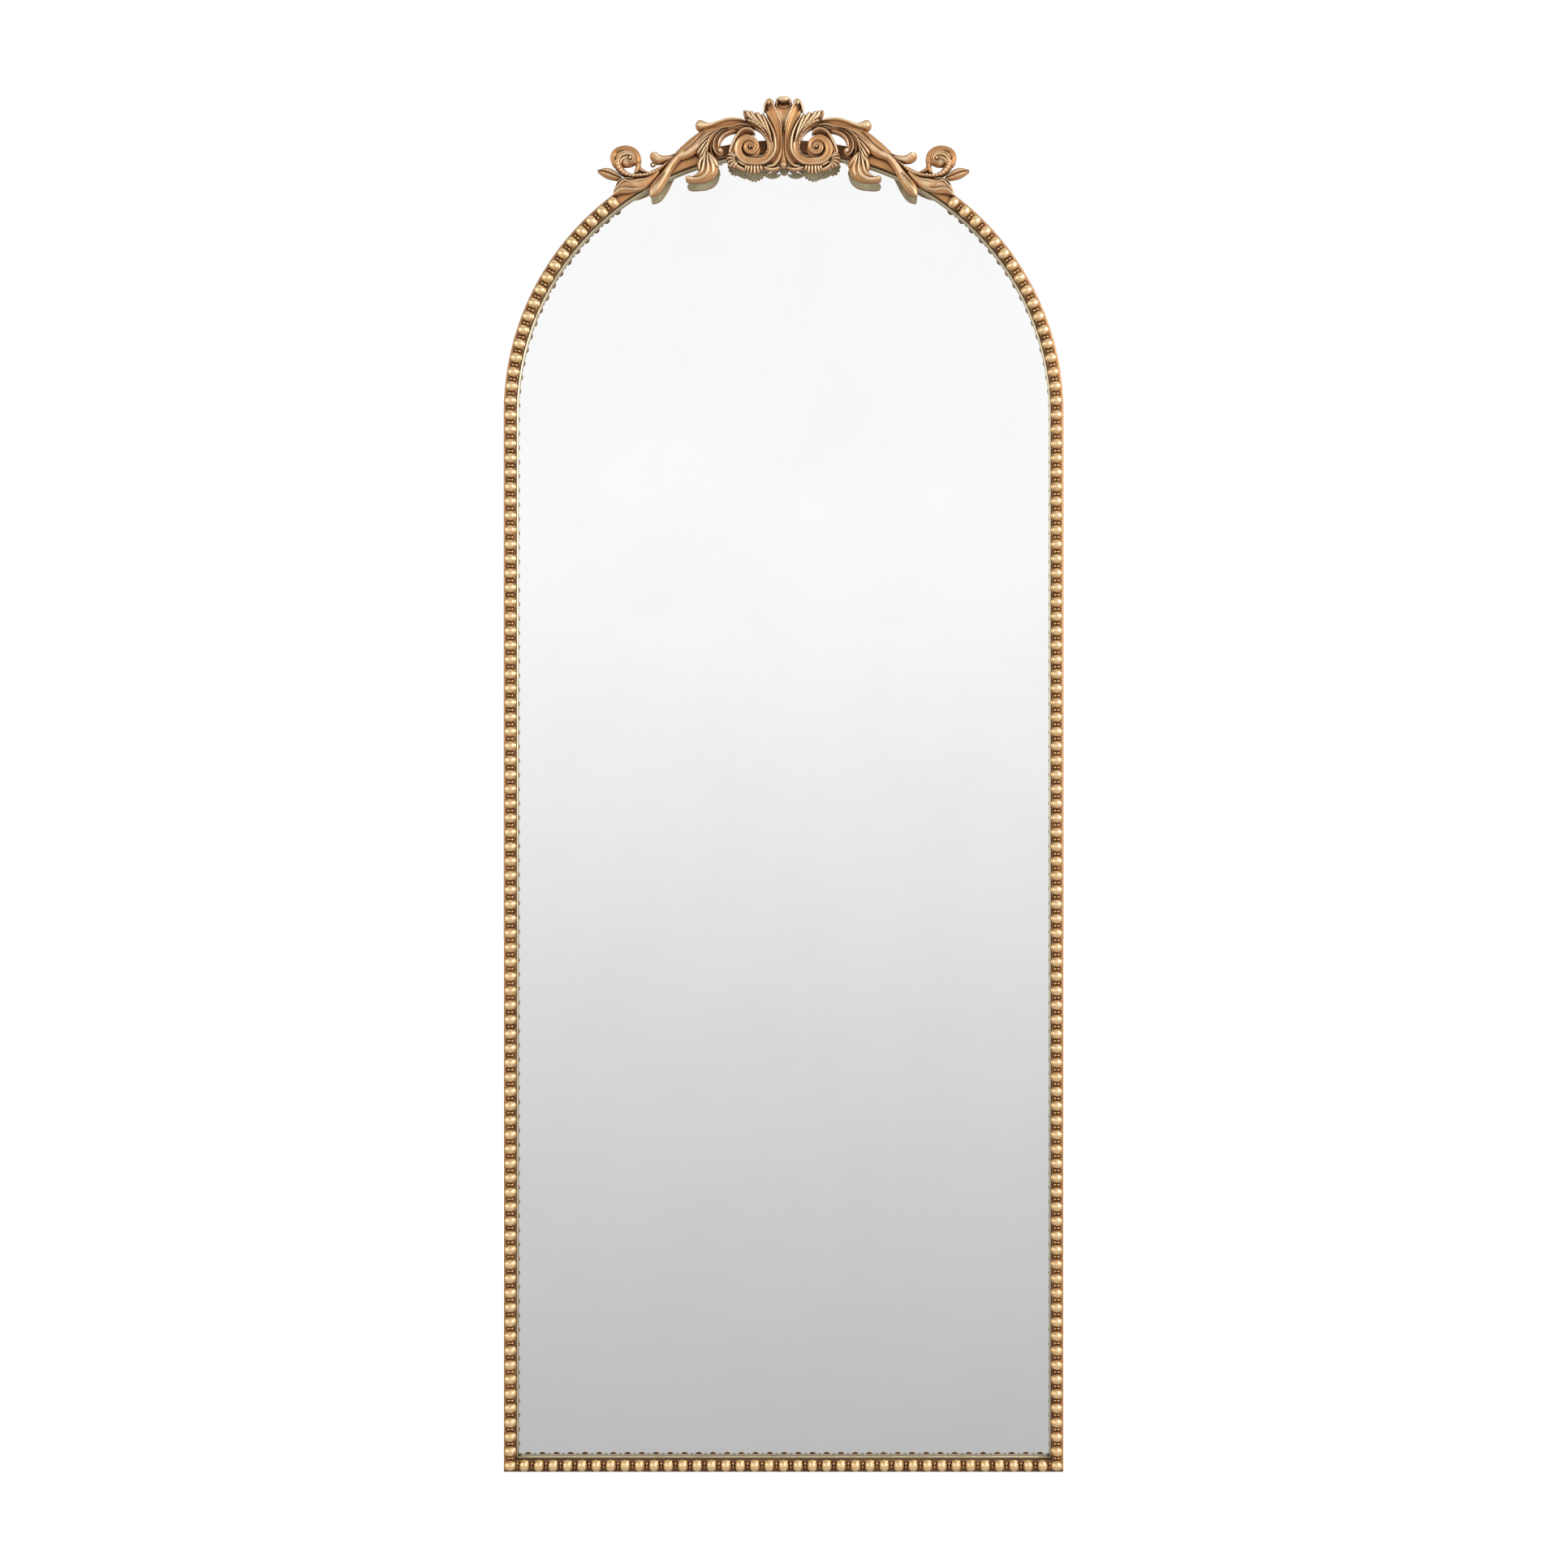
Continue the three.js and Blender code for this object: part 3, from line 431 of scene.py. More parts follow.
def bumper_rubber():
    """Dark rubber with a dusty bloom."""
    made, sh, skin = new_material("bumper_rubber")
    place = sh.place()
    bloom = sh.noise(place, 600.0, 4.0, 0.6)
    sh.feed(skin.inputs["Base Color"],
            sh.mix(sh.remap(bloom, 0.4, 0.75), (0.018, 0.018, 0.019), (0.06, 0.058, 0.055)))
    sh.feed(skin.inputs["Roughness"], sh.remap(bloom, 0.3, 0.8, 0.65, 0.85))
    sh.bump(skin, bloom, 0.25, 0.0002)
    return made


def casting_back():
    """The crest's flat back: thin olive bronze paint, rubbed and uneven."""
    if "casting_back" in bpy.data.materials:
        return bpy.data.materials["casting_back"]
    made, sh, skin = new_material("casting_back")
    place = sh.place()
    cloud = sh.noise(place, 120.0, 4.0, 0.6)
    grain = sh.noise(place, 900.0, 2.0, 0.6)
    sh.feed(skin.inputs["Base Color"],
            sh.mix(sh.remap(cloud, 0.3, 0.75), (0.66, 0.56, 0.35), (0.84, 0.74, 0.50)))
    sh.feed(skin.inputs["Roughness"], sh.remap(grain, 0.2, 0.8, 0.5, 0.75))
    skin.inputs["Metallic"].default_value = 0.2
    sh.bump(skin, grain, 0.3, 0.0003)
    return made


# ---------------------------------------------------------------- pieces
def finish_piece(bm, name, material, nodes, body="frame"):
    """Turn a bmesh into a piece that stands for its CAD nodes and rides on their body."""
    mesh = bpy.data.meshes.new(name)
    bm.to_mesh(mesh)
    bm.free()
    mesh.materials.append(material)
    mesh.shade_smooth()
    mesh.set_sharp_from_angle(angle=SHARP_ANGLE)
    piece = bpy.data.objects.new(name, mesh)
    bpy.context.scene.collection.objects.link(piece)
    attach(piece, body)
    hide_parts(*nodes)
    return piece


def dress(node, material):
    """Give a carried CAD node its finish."""
    mesh = frame["nodes"][node].data
    mesh.materials.clear()
    mesh.materials.append(material)


def flipped(bm, side):
    """Mirror a right-hand shape to the left and turn its faces the right way out."""
    if side < 0:
        bmesh.ops.scale(bm, vec=(-1, 1, 1), verts=bm.verts)
        bmesh.ops.reverse_faces(bm, faces=bm.faces)


# ---------------------------------------------------------------- mouldings
def shoulder_centre():
    return HALF_WIDTH - sizes().shoulder_radius


def crown_drop():
    s = sizes()
    return math.sqrt((s.crown_radius - s.shoulder_radius) ** 2 - shoulder_centre() ** 2)


def arcs_meet():
    """The angle at which the shoulder's arc runs into the crown's."""
    return math.atan2(crown_drop(), shoulder_centre())


def arch_place(angle, inset):
    """The place on the right half of the arch at an angle above the spring line."""
    s = sizes()
    if angle > arcs_meet():
        radius, centre = s.crown_radius - inset, Vector((0, SPRING - crown_drop()))
    else:
        radius, centre = s.shoulder_radius - inset, Vector((shoulder_centre(), SPRING))
    return centre + radius * Vector((math.cos(angle), math.sin(angle)))


def moulding_section(corners, rounded, radius):
    """A closed outline of inset and depth, with the numbered corners rounded, laid on the spring line."""
    bm = bmesh.new()
    verts = [bm.verts.new((HALF_WIDTH - inset, FACE_Y + depth, SPRING)) for inset, depth in corners]
    bm.faces.new(verts)
    bmesh.ops.bevel(bm, geom=[verts[i] for i in rounded], offset=radius, offset_type="OFFSET",
                    segments=EDGE_STEPS, profile=0.5, affect="VERTICES", material=-1)
    return bm


def timber_section():
    s = sizes()
    depth = BACK_Y - FACE_Y
    corners = [(0, 0), (s.lip_width, 0), (s.lip_width, s.lip_depth), (s.leg_width, s.lip_depth),
               (s.leg_width, depth), (0, depth)]
    return moulding_section(corners, (0, 1), FACE_EDGE)


def slip_section():
    s = sizes()
    near = s.leg_width + s.fit
    far = near + s.slip_width
    top, low = s.lip_depth, s.lip_depth + s.slip_depth
    return moulding_section([(near, top), (far, top), (far, low), (near, low)], (1,), NOSE_EDGE)


def extrude_faces(bm):
    """Pull the section's face out of itself and return the new vertices."""
    pulled = bmesh.ops.extrude_face_region(bm, geom=bm.faces[:])
    return [v for v in pulled["geom"] if isinstance(v, bmesh.types.BMVert)]


def stile_from(bm):
    for vert in extrude_faces(bm):
        vert.co.z = HALF_WIDTH - vert.co.x
    return bm


def rail_from(bm):
    for vert in bm.verts:
        vert.co.z = HALF_WIDTH - vert.co.x
    for vert in extrude_faces(bm):
        vert.co.x = -vert.co.x
    return bm


def arch_from(bm, start, end):
    """Spin the section round the shoulder's centre, and on round the crown's where the piece reaches it."""
    shoulder = Vector((shoulder_centre(), 0, SPRING))
    bmesh.ops.rotate(bm, cent=shoulder, matrix=Matrix.Rotation(-start, 3, "Y"), verts=bm.verts)
    meet = min(end, arcs_meet())
    spans = [(start, meet, shoulder)]
    if end > meet:
        spans.append((meet, end, Vector((0, 0, SPRING - crown_drop()))))
    last = bm.faces[:]
    for begin, stop, centre in spans:
        steps = max(1, round(math.degrees(stop - begin)))
        corners = list({v for f in last for v in f.verts})
        edges = list({e for f in last for e in f.edges})
        turned = bmesh.ops.spin(bm, geom=last + corners + edges, cent=centre, axis=(0, -1, 0),
                                angle=stop - begin, steps=steps, use_merge=False, use_duplicate=False)
        last = [g for g in turned["geom_last"] if isinstance(g, bmesh.types.BMFace)]
    return bm


def mark_relief(bm, value_at):
    """Store how proud each vertex stands, for the leaf's wear and age, painted highlight and painted shade.
    """
    layer = bm.verts.layers.float.new(RELIEF)
    for vert in bm.verts:
        vert[layer] = value_at(Vector((abs(vert.co.x), vert.co.y, vert.co.z)))


def inset_at(co):
    """How far a point of the right half lies inside the frame's outline."""
    if co.z <= SPRING:
        return min(HALF_WIDTH - abs(co.x), co.z)
    angle = math.atan2(co.z - SPRING, abs(co.x) - shoulder_centre())
    return min((co.xz - arch_place(angle, 0)).length, DEEPEST_INSET)


def timber_relief(co):
    """Face and outer side are leaf; the lip's inner side and the face behind the crest get painted shade."""
    s = sizes()
    # the lip's inner wall: painted shade
    if inset_at(co) > s.lip_width - EDGE_MARGIN and co.y > FACE_Y + INNER_MARGIN:
        return LEAF_WALL_SHADE
    if co.y > FACE_Y + EDGE_MARGIN:
        return LEAF_SIDE
    # the face behind the crest: the crest's painted shadow
    return LEAF_SHADED if co.z > SPRING and co.x < CREST_SHADE else LEAF_RUBBED


def slip_relief(co):
    """The slip's rounded nose is rubbed bright and carries a painted highlight; the rest grows paler from the
    foot to the crown.
    """
    s = sizes()
    beside_nose = inset_at(co) > s.leg_width + s.fit + s.slip_width - NOSE_MARGIN
    if beside_nose and co.y < FACE_Y + s.lip_depth + NOSE_MARGIN:
        return SLIP_NOSE
    return SLIP_FOOT + SLIP_PALER * (co.z / CROWN) ** 2


def build_moulding(bm, name, side, material, relief):
    bmesh.ops.recalc_face_normals(bm, faces=bm.faces)
    flipped(bm, side)
    mark_relief(bm, relief)
    finish_piece(bm, f"{name}_moulding", material, [name])


class MIRROR_OT_timbers(bpy.types.Operator):
    """Build the frame's timbers with rounded lips and a smooth arch"""

    bl_idname = "gilt_mirror.timbers"
    bl_label = "Timbers"

    def execute(self, context):
        def timber(bm, name, side):
            build_moulding(bm, name, side, gilding("face_gold"), timber_relief)

        timber(rail_from(timber_section()), "bottom_rail", 1)
        for name, side in SIDES:
            timber(stile_from(timber_section()), f"stile_{name}", side)
            timber(arch_from(timber_section(), 0, HEAD_JOINT), f"arch_shoulder_{name}", side)
            timber(arch_from(timber_section(), HEAD_JOINT, math.pi / 2), f"arch_crown_{name}", side)
        return {"FINISHED"}


class MIRROR_OT_slips(bpy.types.Operator):
    """Build the champagne slips next to the glass"""

    bl_idname = "gilt_mirror.slips"
    bl_label = "Slips"

    def execute(self, context):
        def slip(bm, name, side):
            build_moulding(bm, name, side, gilding("slip_silver"), slip_relief)

        slip(rail_from(slip_section()), "slip_bottom", 1)
        for name, side in SIDES:
            slip(stile_from(slip_section()), f"slip_{name}", side)
            slip(arch_from(slip_section(), 0, math.pi / 2), f"slip_arch_{name}", side)
        return {"FINISHED"}


# ---------------------------------------------------------------- beads
def dome_mesh(name, around, rings, sink, back_finish=0, shine=1.0):
    """A half ball, one unit in radius, that stands towards -Y and is cut flat at its back."""
    bm = bmesh.new()
    bmesh.ops.create_uvsphere(bm, u_segments=around, v_segments=rings, radius=1.0,
                              matrix=Matrix.Rotation(math.pi / 2, 4, "X"))
    cut = bmesh.ops.bisect_plane(bm, geom=bm.verts[:] + bm.edges[:] + bm.faces[:], plane_co=(0, sink, 0),
                                 plane_no=(0, 1, 0), clear_outer=True)
    rim = [g for g in cut["geom_cut"] if isinstance(g, bmesh.types.BMEdge)]
    for face in bmesh.ops.edgeloop_fill(bm, edges=rim)["faces"]:
        face.material_index = back_finish
    bmesh.ops.recalc_face_normals(bm, faces=bm.faces)
    # relief grows from foot to crown, scaled by shine: rubbed crown with a painted highlight, patina and
    # painted shade at the foot
    layer = bm.verts.layers.float.new(RELIEF)
    for vert in bm.verts:
        vert[layer] = shine * min(1.0, max(0.0, 0.25 - 0.95 * vert.co.y))
    mesh = bpy.data.meshes.new(name)
    bm.to_mesh(mesh)
    bm.free()
    return mesh


def stamp(bm, mesh, centre, turn, scale):
    """Add a copy of a small shape, scaled and turned about Y, to the strip."""
    first = len(bm.verts)
    bm.from_mesh(mesh)
    bm.verts.ensure_lookup_table()
    place = Matrix.Translation(centre) @ Matrix.Rotation(turn, 4, "Y") @ Matrix.Diagonal((*scale, 1.0))
    bmesh.ops.transform(bm, matrix=place, verts=bm.verts[first:])


def lay_beads(name, stations, mid_stations):
    """Set the beads, and between them a dark bed of painted shade with a thin reel and two small pearls, on
    the face.
    """
    beads = bpy.context.scene.bead_sizes
    reach = beads.height - beads.belly
    dome = dome_mesh("bead_dome", around=24, rings=14, sink=beads.belly / reach + 0.01)
    # the pearls' and the bed's low shine paints the shade in the hollow between the beads
    pearl = dome_mesh("pearl_dome", around=12, rings=8, sink=0.35, shine=0.62)
    bed = dome_mesh("bed_dome", around=28, rings=6, sink=0.02, shine=0.08)
    bm = bmesh.new()
    bm.verts.layers.float.new(RELIEF)
    for x, z, turn in stations:
        stamp(bm, dome, (x, FACE_Y - beads.belly, z), turn, (beads.length / 2, reach, beads.width / 2))
    for x, z, turn in mid_stations:
        stamp(bm, bed, (x, FACE_Y, z), turn, BED_SIZE)
        stamp(bm, pearl, (x, FACE_Y, z), turn, REEL_SIZE)
        out = Vector((math.sin(turn), 0, math.cos(turn)))
        for offset in (-PEARL_APART, PEARL_APART):
            spot = Vector((x, FACE_Y - PEARL_LIFT, z)) + out * offset
            stamp(bm, pearl, spot, turn, (beads.pearl / 2,) * 3)
    finish_piece(bm, f"{name}_moulding", gilding("bead_gold"), [name])


def straight_run(count, first, pitch, place):
    return [place(first + i * pitch) for i in range(count)]


class MIRROR_OT_beads(bpy.types.Operator):
    """Lay the beads with their small pearls round the frame"""

    bl_idname = "gilt_mirror.beads"
    bl_label = "Beads"

    def execute(self, context):
        beads = context.scene.bead_sizes
        line = HALF_WIDTH - beads.inset
        upright = round((SPRING - beads.inset) / beads.pitch)
        foot = round(2 * line / beads.pitch) - 1

        def along_foot(x):
            return (x, beads.inset, 0.0)

        first = -(foot - 1) * beads.pitch / 2
        lay_beads("beads_bottom", straight_run(foot, first, beads.pitch, along_foot),
                  straight_run(foot + 1, first - beads.pitch / 2, beads.pitch, along_foot))
        radius = sizes().shoulder_radius - beads.inset
        start = beads.inset + upright * beads.pitch - SPRING
        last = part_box("beads_arch_right")[1].z
        for name, side in SIDES:
            def along_side(z, side=side):
                return (side * line, z, side * math.pi / 2)

            def along_arch(distance, side=side):
                angle = distance / radius
                place = arch_place(angle, beads.inset)
                return (side * place.x, place.y, side * (math.pi / 2 - angle))

            lay_beads(f"beads_{name}", straight_run(upright, beads.inset, beads.pitch, along_side),
                      straight_run(upright, beads.inset + beads.pitch / 2, beads.pitch, along_side))
            fits = 0
            while along_arch(start + fits * beads.pitch)[1] < last:
                fits += 1
            lay_beads(f"beads_arch_{name}", straight_run(fits, start, beads.pitch, along_arch),
                      straight_run(fits - 1, start + beads.pitch / 2, beads.pitch, along_arch))
        return {"FINISHED"}


# ---------------------------------------------------------------- carving
# A strand's spine is drawn in millimetres: out from the centre line, and up from the crown's top.
CAP_STEPS = 6
CAP_SHARE = 0.45
FEWEST_STEPS = 6
CURVE_SAMPLES = 14
HEADING_REACH = 0.05
BACK_STEP = 0.036  # no two flat backs lie in one plane, or they would flicker
BACK_LAYERS = 9
NARROWEST, LOWEST = 0.12, 0.5
END_LEVEL = 0.55
GROOVE_SHADE = 0.85
ROUND = (0.45, 0.78, 0.95, 1.0, 0.95, 0.78, 0.45)
RIDGE = (0.66, 0.82, 0.94, 1.0, 0.94, 0.82, 0.66)
# CUP is a hollowed section; strands with it and a low tone are dark hollows of patina and painted shade
CUP = (0.9, 1.0, 0.6, 0.45, 0.6, 1.0, 0.9)


def curve_at(values, place):
    """Read a list of numbers or points at a place between its items, along a smooth curve."""
    last = len(values) - 1
    i = min(int(place), last - 1)
    f = place - i
    a, b, c, d = (values[min(max(i + k, 0), last)] for k in (-1, 0, 1, 2))
    return b + (c - a + (a * 2 - b * 5 + c * 4 - d + (b * 3 - c * 3 + d - a) * f) * f) * (f * 0.5)


def walk(spine, step, caps):
    """Stations along a spine, closer in its rounded ends, and the spine's length.

    Each station is its place in the list of points, its point, its direction and its distance along.
    """
    points = [Vector(p) for p in spine]
    fine = CURVE_SAMPLES * (len(points) - 1)
    places = [i * (len(points) - 1) / fine for i in range(fine + 1)]
    track = [curve_at(points, p) for p in places]
    reach = [0.0]
    for a, b in zip(track, track[1:]):
        reach.append(reach[-1] + (b - a).length)
    total = reach[-1]
    start, end = (min(cap, total * CAP_SHARE) for cap in caps)
    bends = [1 - math.cos(math.pi / 2 * i / CAP_STEPS) for i in range(CAP_STEPS)]
    marks = [start * bend for bend in bends] if start else []
    count = max(FEWEST_STEPS, round((total - start - end) / step))
    marks += [start + (total - start - end) * i / count for i in range(count + 1)]
    marks += [total - end * bend for bend in reversed(bends)] if end else []
    stations, k = [], 0
    for want in marks:
        while k < fine - 1 and reach[k + 1] < want:
            k += 1
        f = (want - reach[k]) / max(1e-9, reach[k + 1] - reach[k])
        place = places[k] + (places[k + 1] - places[k]) * max(0.0, min(1.0, f))
        ahead, behind = min(place + HEADING_REACH, len(points) - 1), max(place - HEADING_REACH, 0)
        heading = (curve_at(points, ahead) - curve_at(points, behind)).normalized()
        stations.append((place, curve_at(points, place), heading, want))
    return stations, total


def notch(phase):
    """Rises from 0 in a groove to 1 on the lobe between two grooves."""
    return math.sqrt(abs(math.sin(math.pi * phase)))


def rounding(distance, cap):
    """How much of its width a strand keeps at a distance from its end."""
    return 1.0 if distance >= cap or not cap else math.sqrt(max(0.0, 1 - (1 - distance / cap) ** 2))


def carve(bm, back, spine, half, rise, section=ROUND, caps=None, veins=None, teeth=None, tone=1.0):
    """Sweep one carved strand: a curved skin over the face, closed by its walls and a flat back.

    half and rise follow the spine; section is the height across, from the right of travel to its left.
    caps = lengths of the rounded ends, veins = (count, depth, slant), teeth = (count, depth on the
    right, depth on the left); tone below 1 leaves the strand darker, as painted shade over aged gilding.
    """
    step = bpy.context.scene.carving_sizes.step / MM
    across = bpy.context.scene.carving_sizes.across
    caps = caps or (half[0], half[-1])
    stations, length = walk(spine, step, caps)
    relief = bm.verts.layers.float.get(RELIEF) or bm.verts.layers.float.new(RELIEF)
    first = len(bm.verts)
    rows = len(stations)
    bmesh.ops.create_grid(bm, x_segments=rows - 1, y_segments=across, size=0.5)
    bm.verts.ensure_lookup_table()
    skin = bm.verts[first:]
    for vert in skin:
        i = round((vert.co.x + 0.5) * (rows - 1))
        t = math.sin(vert.co.y * math.pi)
        place, centre, ahead, distance = stations[i]
        share = distance / length
        width = curve_at(half, place * (len(half) - 1) / (len(spine) - 1))
        height = curve_at(rise, place * (len(rise) - 1) / (len(spine) - 1))
        end = min(rounding(distance, caps[0]), rounding(length - distance, caps[1]))
        level = curve_at(section, (t + 1) / 2 * (len(section) - 1)) * (END_LEVEL + (1 - END_LEVEL) * end)
        width = max(NARROWEST, width * end)
        lobe = 1.0
        if teeth:
            count, right, left = teeth
            slant = veins[2] if veins else 0.0
            groove = 1 - notch(count * (share - slant / length))
            width *= 1 - (left if t > 0 else right) * groove * abs(t) ** 3
        if veins:
            count, depth, slant = veins
            groove = 1 - notch(count * (share - slant * abs(t) / length))
            groove *= min(1.0, 0.25 + abs(t) * 1.4)
            height -= depth * groove
            lobe -= GROOVE_SHADE * groove
        normal = Vector((-ahead.y, ahead.x))
        spot = centre + normal * (t * width)
        vert.co = (spot.x * MM, FACE_Y - max(LOWEST, height * level) * MM, CROWN + spot.y * MM)
        vert[relief] = max(0.0, min(1.0, level * lobe * tone))
    skin_faces = list({f for v in skin for f in v.link_faces})
    pulled = bmesh.ops.extrude_face_region(bm, geom=skin_faces)
    copies = {g for g in pulled["geom"] if isinstance(g, bmesh.types.BMVert)}
    # the back's relief is 0, so the walls grade into patina and painted shade
    for vert in copies:
        vert.co.y = FACE_Y - back * MM
        vert[relief] = 0.0
    faces = list({f for v in bm.verts[first:] for f in v.link_faces})
    for face in faces:
        face.material_index = int(all(v in copies for v in face.verts))
    bmesh.ops.recalc_face_normals(bm, faces=faces)


def cut(spine, half, rise, **more):
    """One strand's values, under the names that carve() takes them by."""
    return {"spine": spine, "half": half, "rise": rise, **more}


def boss(bm, dome, centre, radius, rise, squash):
    """A small dome on the face; squash is its height on the wall over its width."""
    stamp(bm, dome, (centre[0] * MM, FACE_Y, CROWN + centre[1] * MM), 0.0,
          (radius * MM, rise * MM, radius * squash * MM))


def carved_piece(node, side, strands, bosses=()):
    """Carve a CAD node's leaf or scroll from its strands."""
    bm = bmesh.new()
    bm.verts.layers.float.new(RELIEF)
    layer = sum(ob.name.endswith("_carving") for ob in bpy.data.objects) % BACK_LAYERS
    for number, strand in enumerate(strands):
        carve(bm, BACK_STEP * (number + layer / BACK_LAYERS), **strand)
    dome = dome_mesh("boss_dome", around=28, rings=18, sink=0.02, back_finish=1)
    for item in bosses:
        boss(bm, dome, *item)
    flipped(bm, side)
    piece = finish_piece(bm, f"{node}_carving", gilding("crest_gold"), [node])
    piece.data.materials.append(casting_back())


def both_sides(node, strands, bosses=()):
    for name, side in SIDES:
        carved_piece(f"{node}_{name}", side, strands, bosses)


class MIRROR_OT_crest_middle(bpy.types.Operator):
    """Carve the crest's middle: finial, stalk, pearl, inner lobes and side leaves"""

    bl_idname = "gilt_mirror.crest_middle"
    bl_label = "Crest middle"

    def execute(self, context):
        rims = []
        for out in (1, -1):
            rims.append(cut([(8.6 * out, 41.5), (8.2 * out, 37), (6.6 * out, 31), (4.4 * out, 23),
                             (2.6 * out, 15)], [1.6, 1.6, 1.3, 1, 0.5], [9, 8.5, 7.6, 7, 6]))
        carved_piece("finial", 1, [
            cut([(0, 10), (0, 22), (0, 32), (0, 41)], [1.2, 4.4, 6.6, 8], [5, 6, 7, 7],
                section=(0.9, 0.86, 0.8, 0.78, 0.8, 0.86, 0.9), caps=(1, 0)),
            cut([(-7, 37.2), (0, 35.8), (7, 37.2)], [1.6, 2.1, 1.6], [8.4, 9, 8.4], tone=0.7),
            cut([(-7.8, 40.6), (-4, 39.4), (0, 38.8), (4, 39.4), (7.8, 40.6)], [1, 1.7, 2, 1.7, 1],
                [9.4, 9.6, 9.6, 9.6, 9.4], section=CUP, tone=0.05),
            *rims,
        ], [((0, 44.8), 9.4, 12.85, 0.5), ((-7.9, 41.2), 2.1, 11.8, 1.5), ((7.9, 41.2), 2.1, 11.8, 1.5)])
        flares = []
        for out in (1, -1):
            flares.append(cut([(1.2 * out, 2), (1.7 * out, -10), (3.4 * out, -20.4), (7.2 * out, -27.6),
                               (13 * out, -32.4), (20 * out, -33.6)], [0.4, 1, 1.4, 1.7, 2, 1.4],
                              [6.5, 7.5, 8, 8.6, 8.6, 7.4]))
        carved_piece("centre_stalk", 1, [
            cut([(0, 14), (0, 0), (0, -12), (0, -22), (0, -33)], [1.6, 2.4, 1.9, 3.4, 8.5],
                [5.5, 6.5, 7, 6.4, 5], section=RIDGE, tone=0.8),
            *flares,
        ])
        carved_piece("base_pearl", 1, [], [((0, -31), 4.6, 10, 0.72)])
        both_sides("inner_lobe", [
            cut([(17.4, 42.6), (16.6, 37.3), (15, 31.7), (12.4, 25.4), (9.2, 18.3), (7, 11.1), (5.4, 4),
                 (4.9, -5), (5.3, -13), (7.7, -19.4), (11.4, -25), (15.4, -28.8)],
                [2.6, 5, 5.8, 6, 5, 4.2, 3.6, 3.3, 3.4, 3.6, 3.8, 3.4],
                [8.5, 9.5, 9.6, 9.6, 9.4, 9.2, 9, 8.8, 8.8, 8.8, 8.4, 7],
                section=(0.9, 0.98, 0.8, 0.72, 0.7, 0.72, 0.74, 0.6), tone=0.78),
            cut([(1.4, 8), (3.2, 17), (6.4, 26), (10, 34), (13.6, 40.4), (15.4, 43)],
                [0.7, 1.4, 1.9, 2.1, 2.2, 1.5], [8.6, 10.2, 11, 11.4, 11.8, 11.6]),
            cut([(12.6, 40.8), (15.2, 43.8), (18.4, 43), (20.8, 39.6), (21.9, 35.4), (22, 31)],
                [1.8, 2.5, 2.5, 2.1, 1.7, 1], [11, 12, 12, 11.4, 10, 8]),
            cut([(20.2, 38.4), (19.6, 34.6), (18, 31)], [0.8, 1.5, 0.8], [10, 9.8, 9.6], section=CUP,
                tone=0.05),
        ], [((17, 41.2), 4.3, 12, 1.0)])
        both_sides("side_leaf", [
            cut([(14, -4), (18.5, 7), (25.5, 16), (33.5, 22.5), (41, 26)], [1.6, 4.8, 6.6, 6.8, 6],
                [8, 8.8, 9, 9, 8.4], tone=0.7),
            cut([(13.4, -6), (15.4, 2), (17.9, 10), (20.9, 18), (23.6, 24), (24.8, 28.2)],
                [1.2, 2.1, 2.7, 3, 2.6, 1.5], [9.5, 10.8, 11, 10.8, 10, 8.8], section=RIDGE),
            cut([(16, 1), (21, 11), (25.6, 19.3), (29.4, 25.6), (31.8, 30.6)], [1, 2.3, 3.1, 3.2, 2],
                [9.4, 10.4, 11, 10.6, 9.2], section=RIDGE),
            cut([(19, 7), (25.7, 14.5), (32, 20.8), (36.4, 26.4), (39, 31.8)], [1, 2.3, 3, 3.2, 2.2],
                [9.6, 10.7, 11.2, 10.8, 9.4], section=RIDGE),
            cut([(23, 11), (31, 17.4), (36.8, 22), (41, 27), (43.6, 32.2)], [0.8, 2, 2.8, 3, 2.2],
                [9.5, 10.6, 11.2, 11, 9.8], section=RIDGE),
            # the curled tip's side, darkened as painted shadow
            cut([(46.3, 33), (45.8, 28.8), (44, 24), (42.4, 20.4)], [1.2, 1.5, 1.5, 0.8], [8, 8, 7.6, 6.5],
                tone=0.55),
            cut([(44.2, 32.6), (43.4, 28), (41.8, 23.6)], [0.5, 0.9, 0.6], [9.6, 9.8, 9]),
        ])
        return {"FINISHED"}


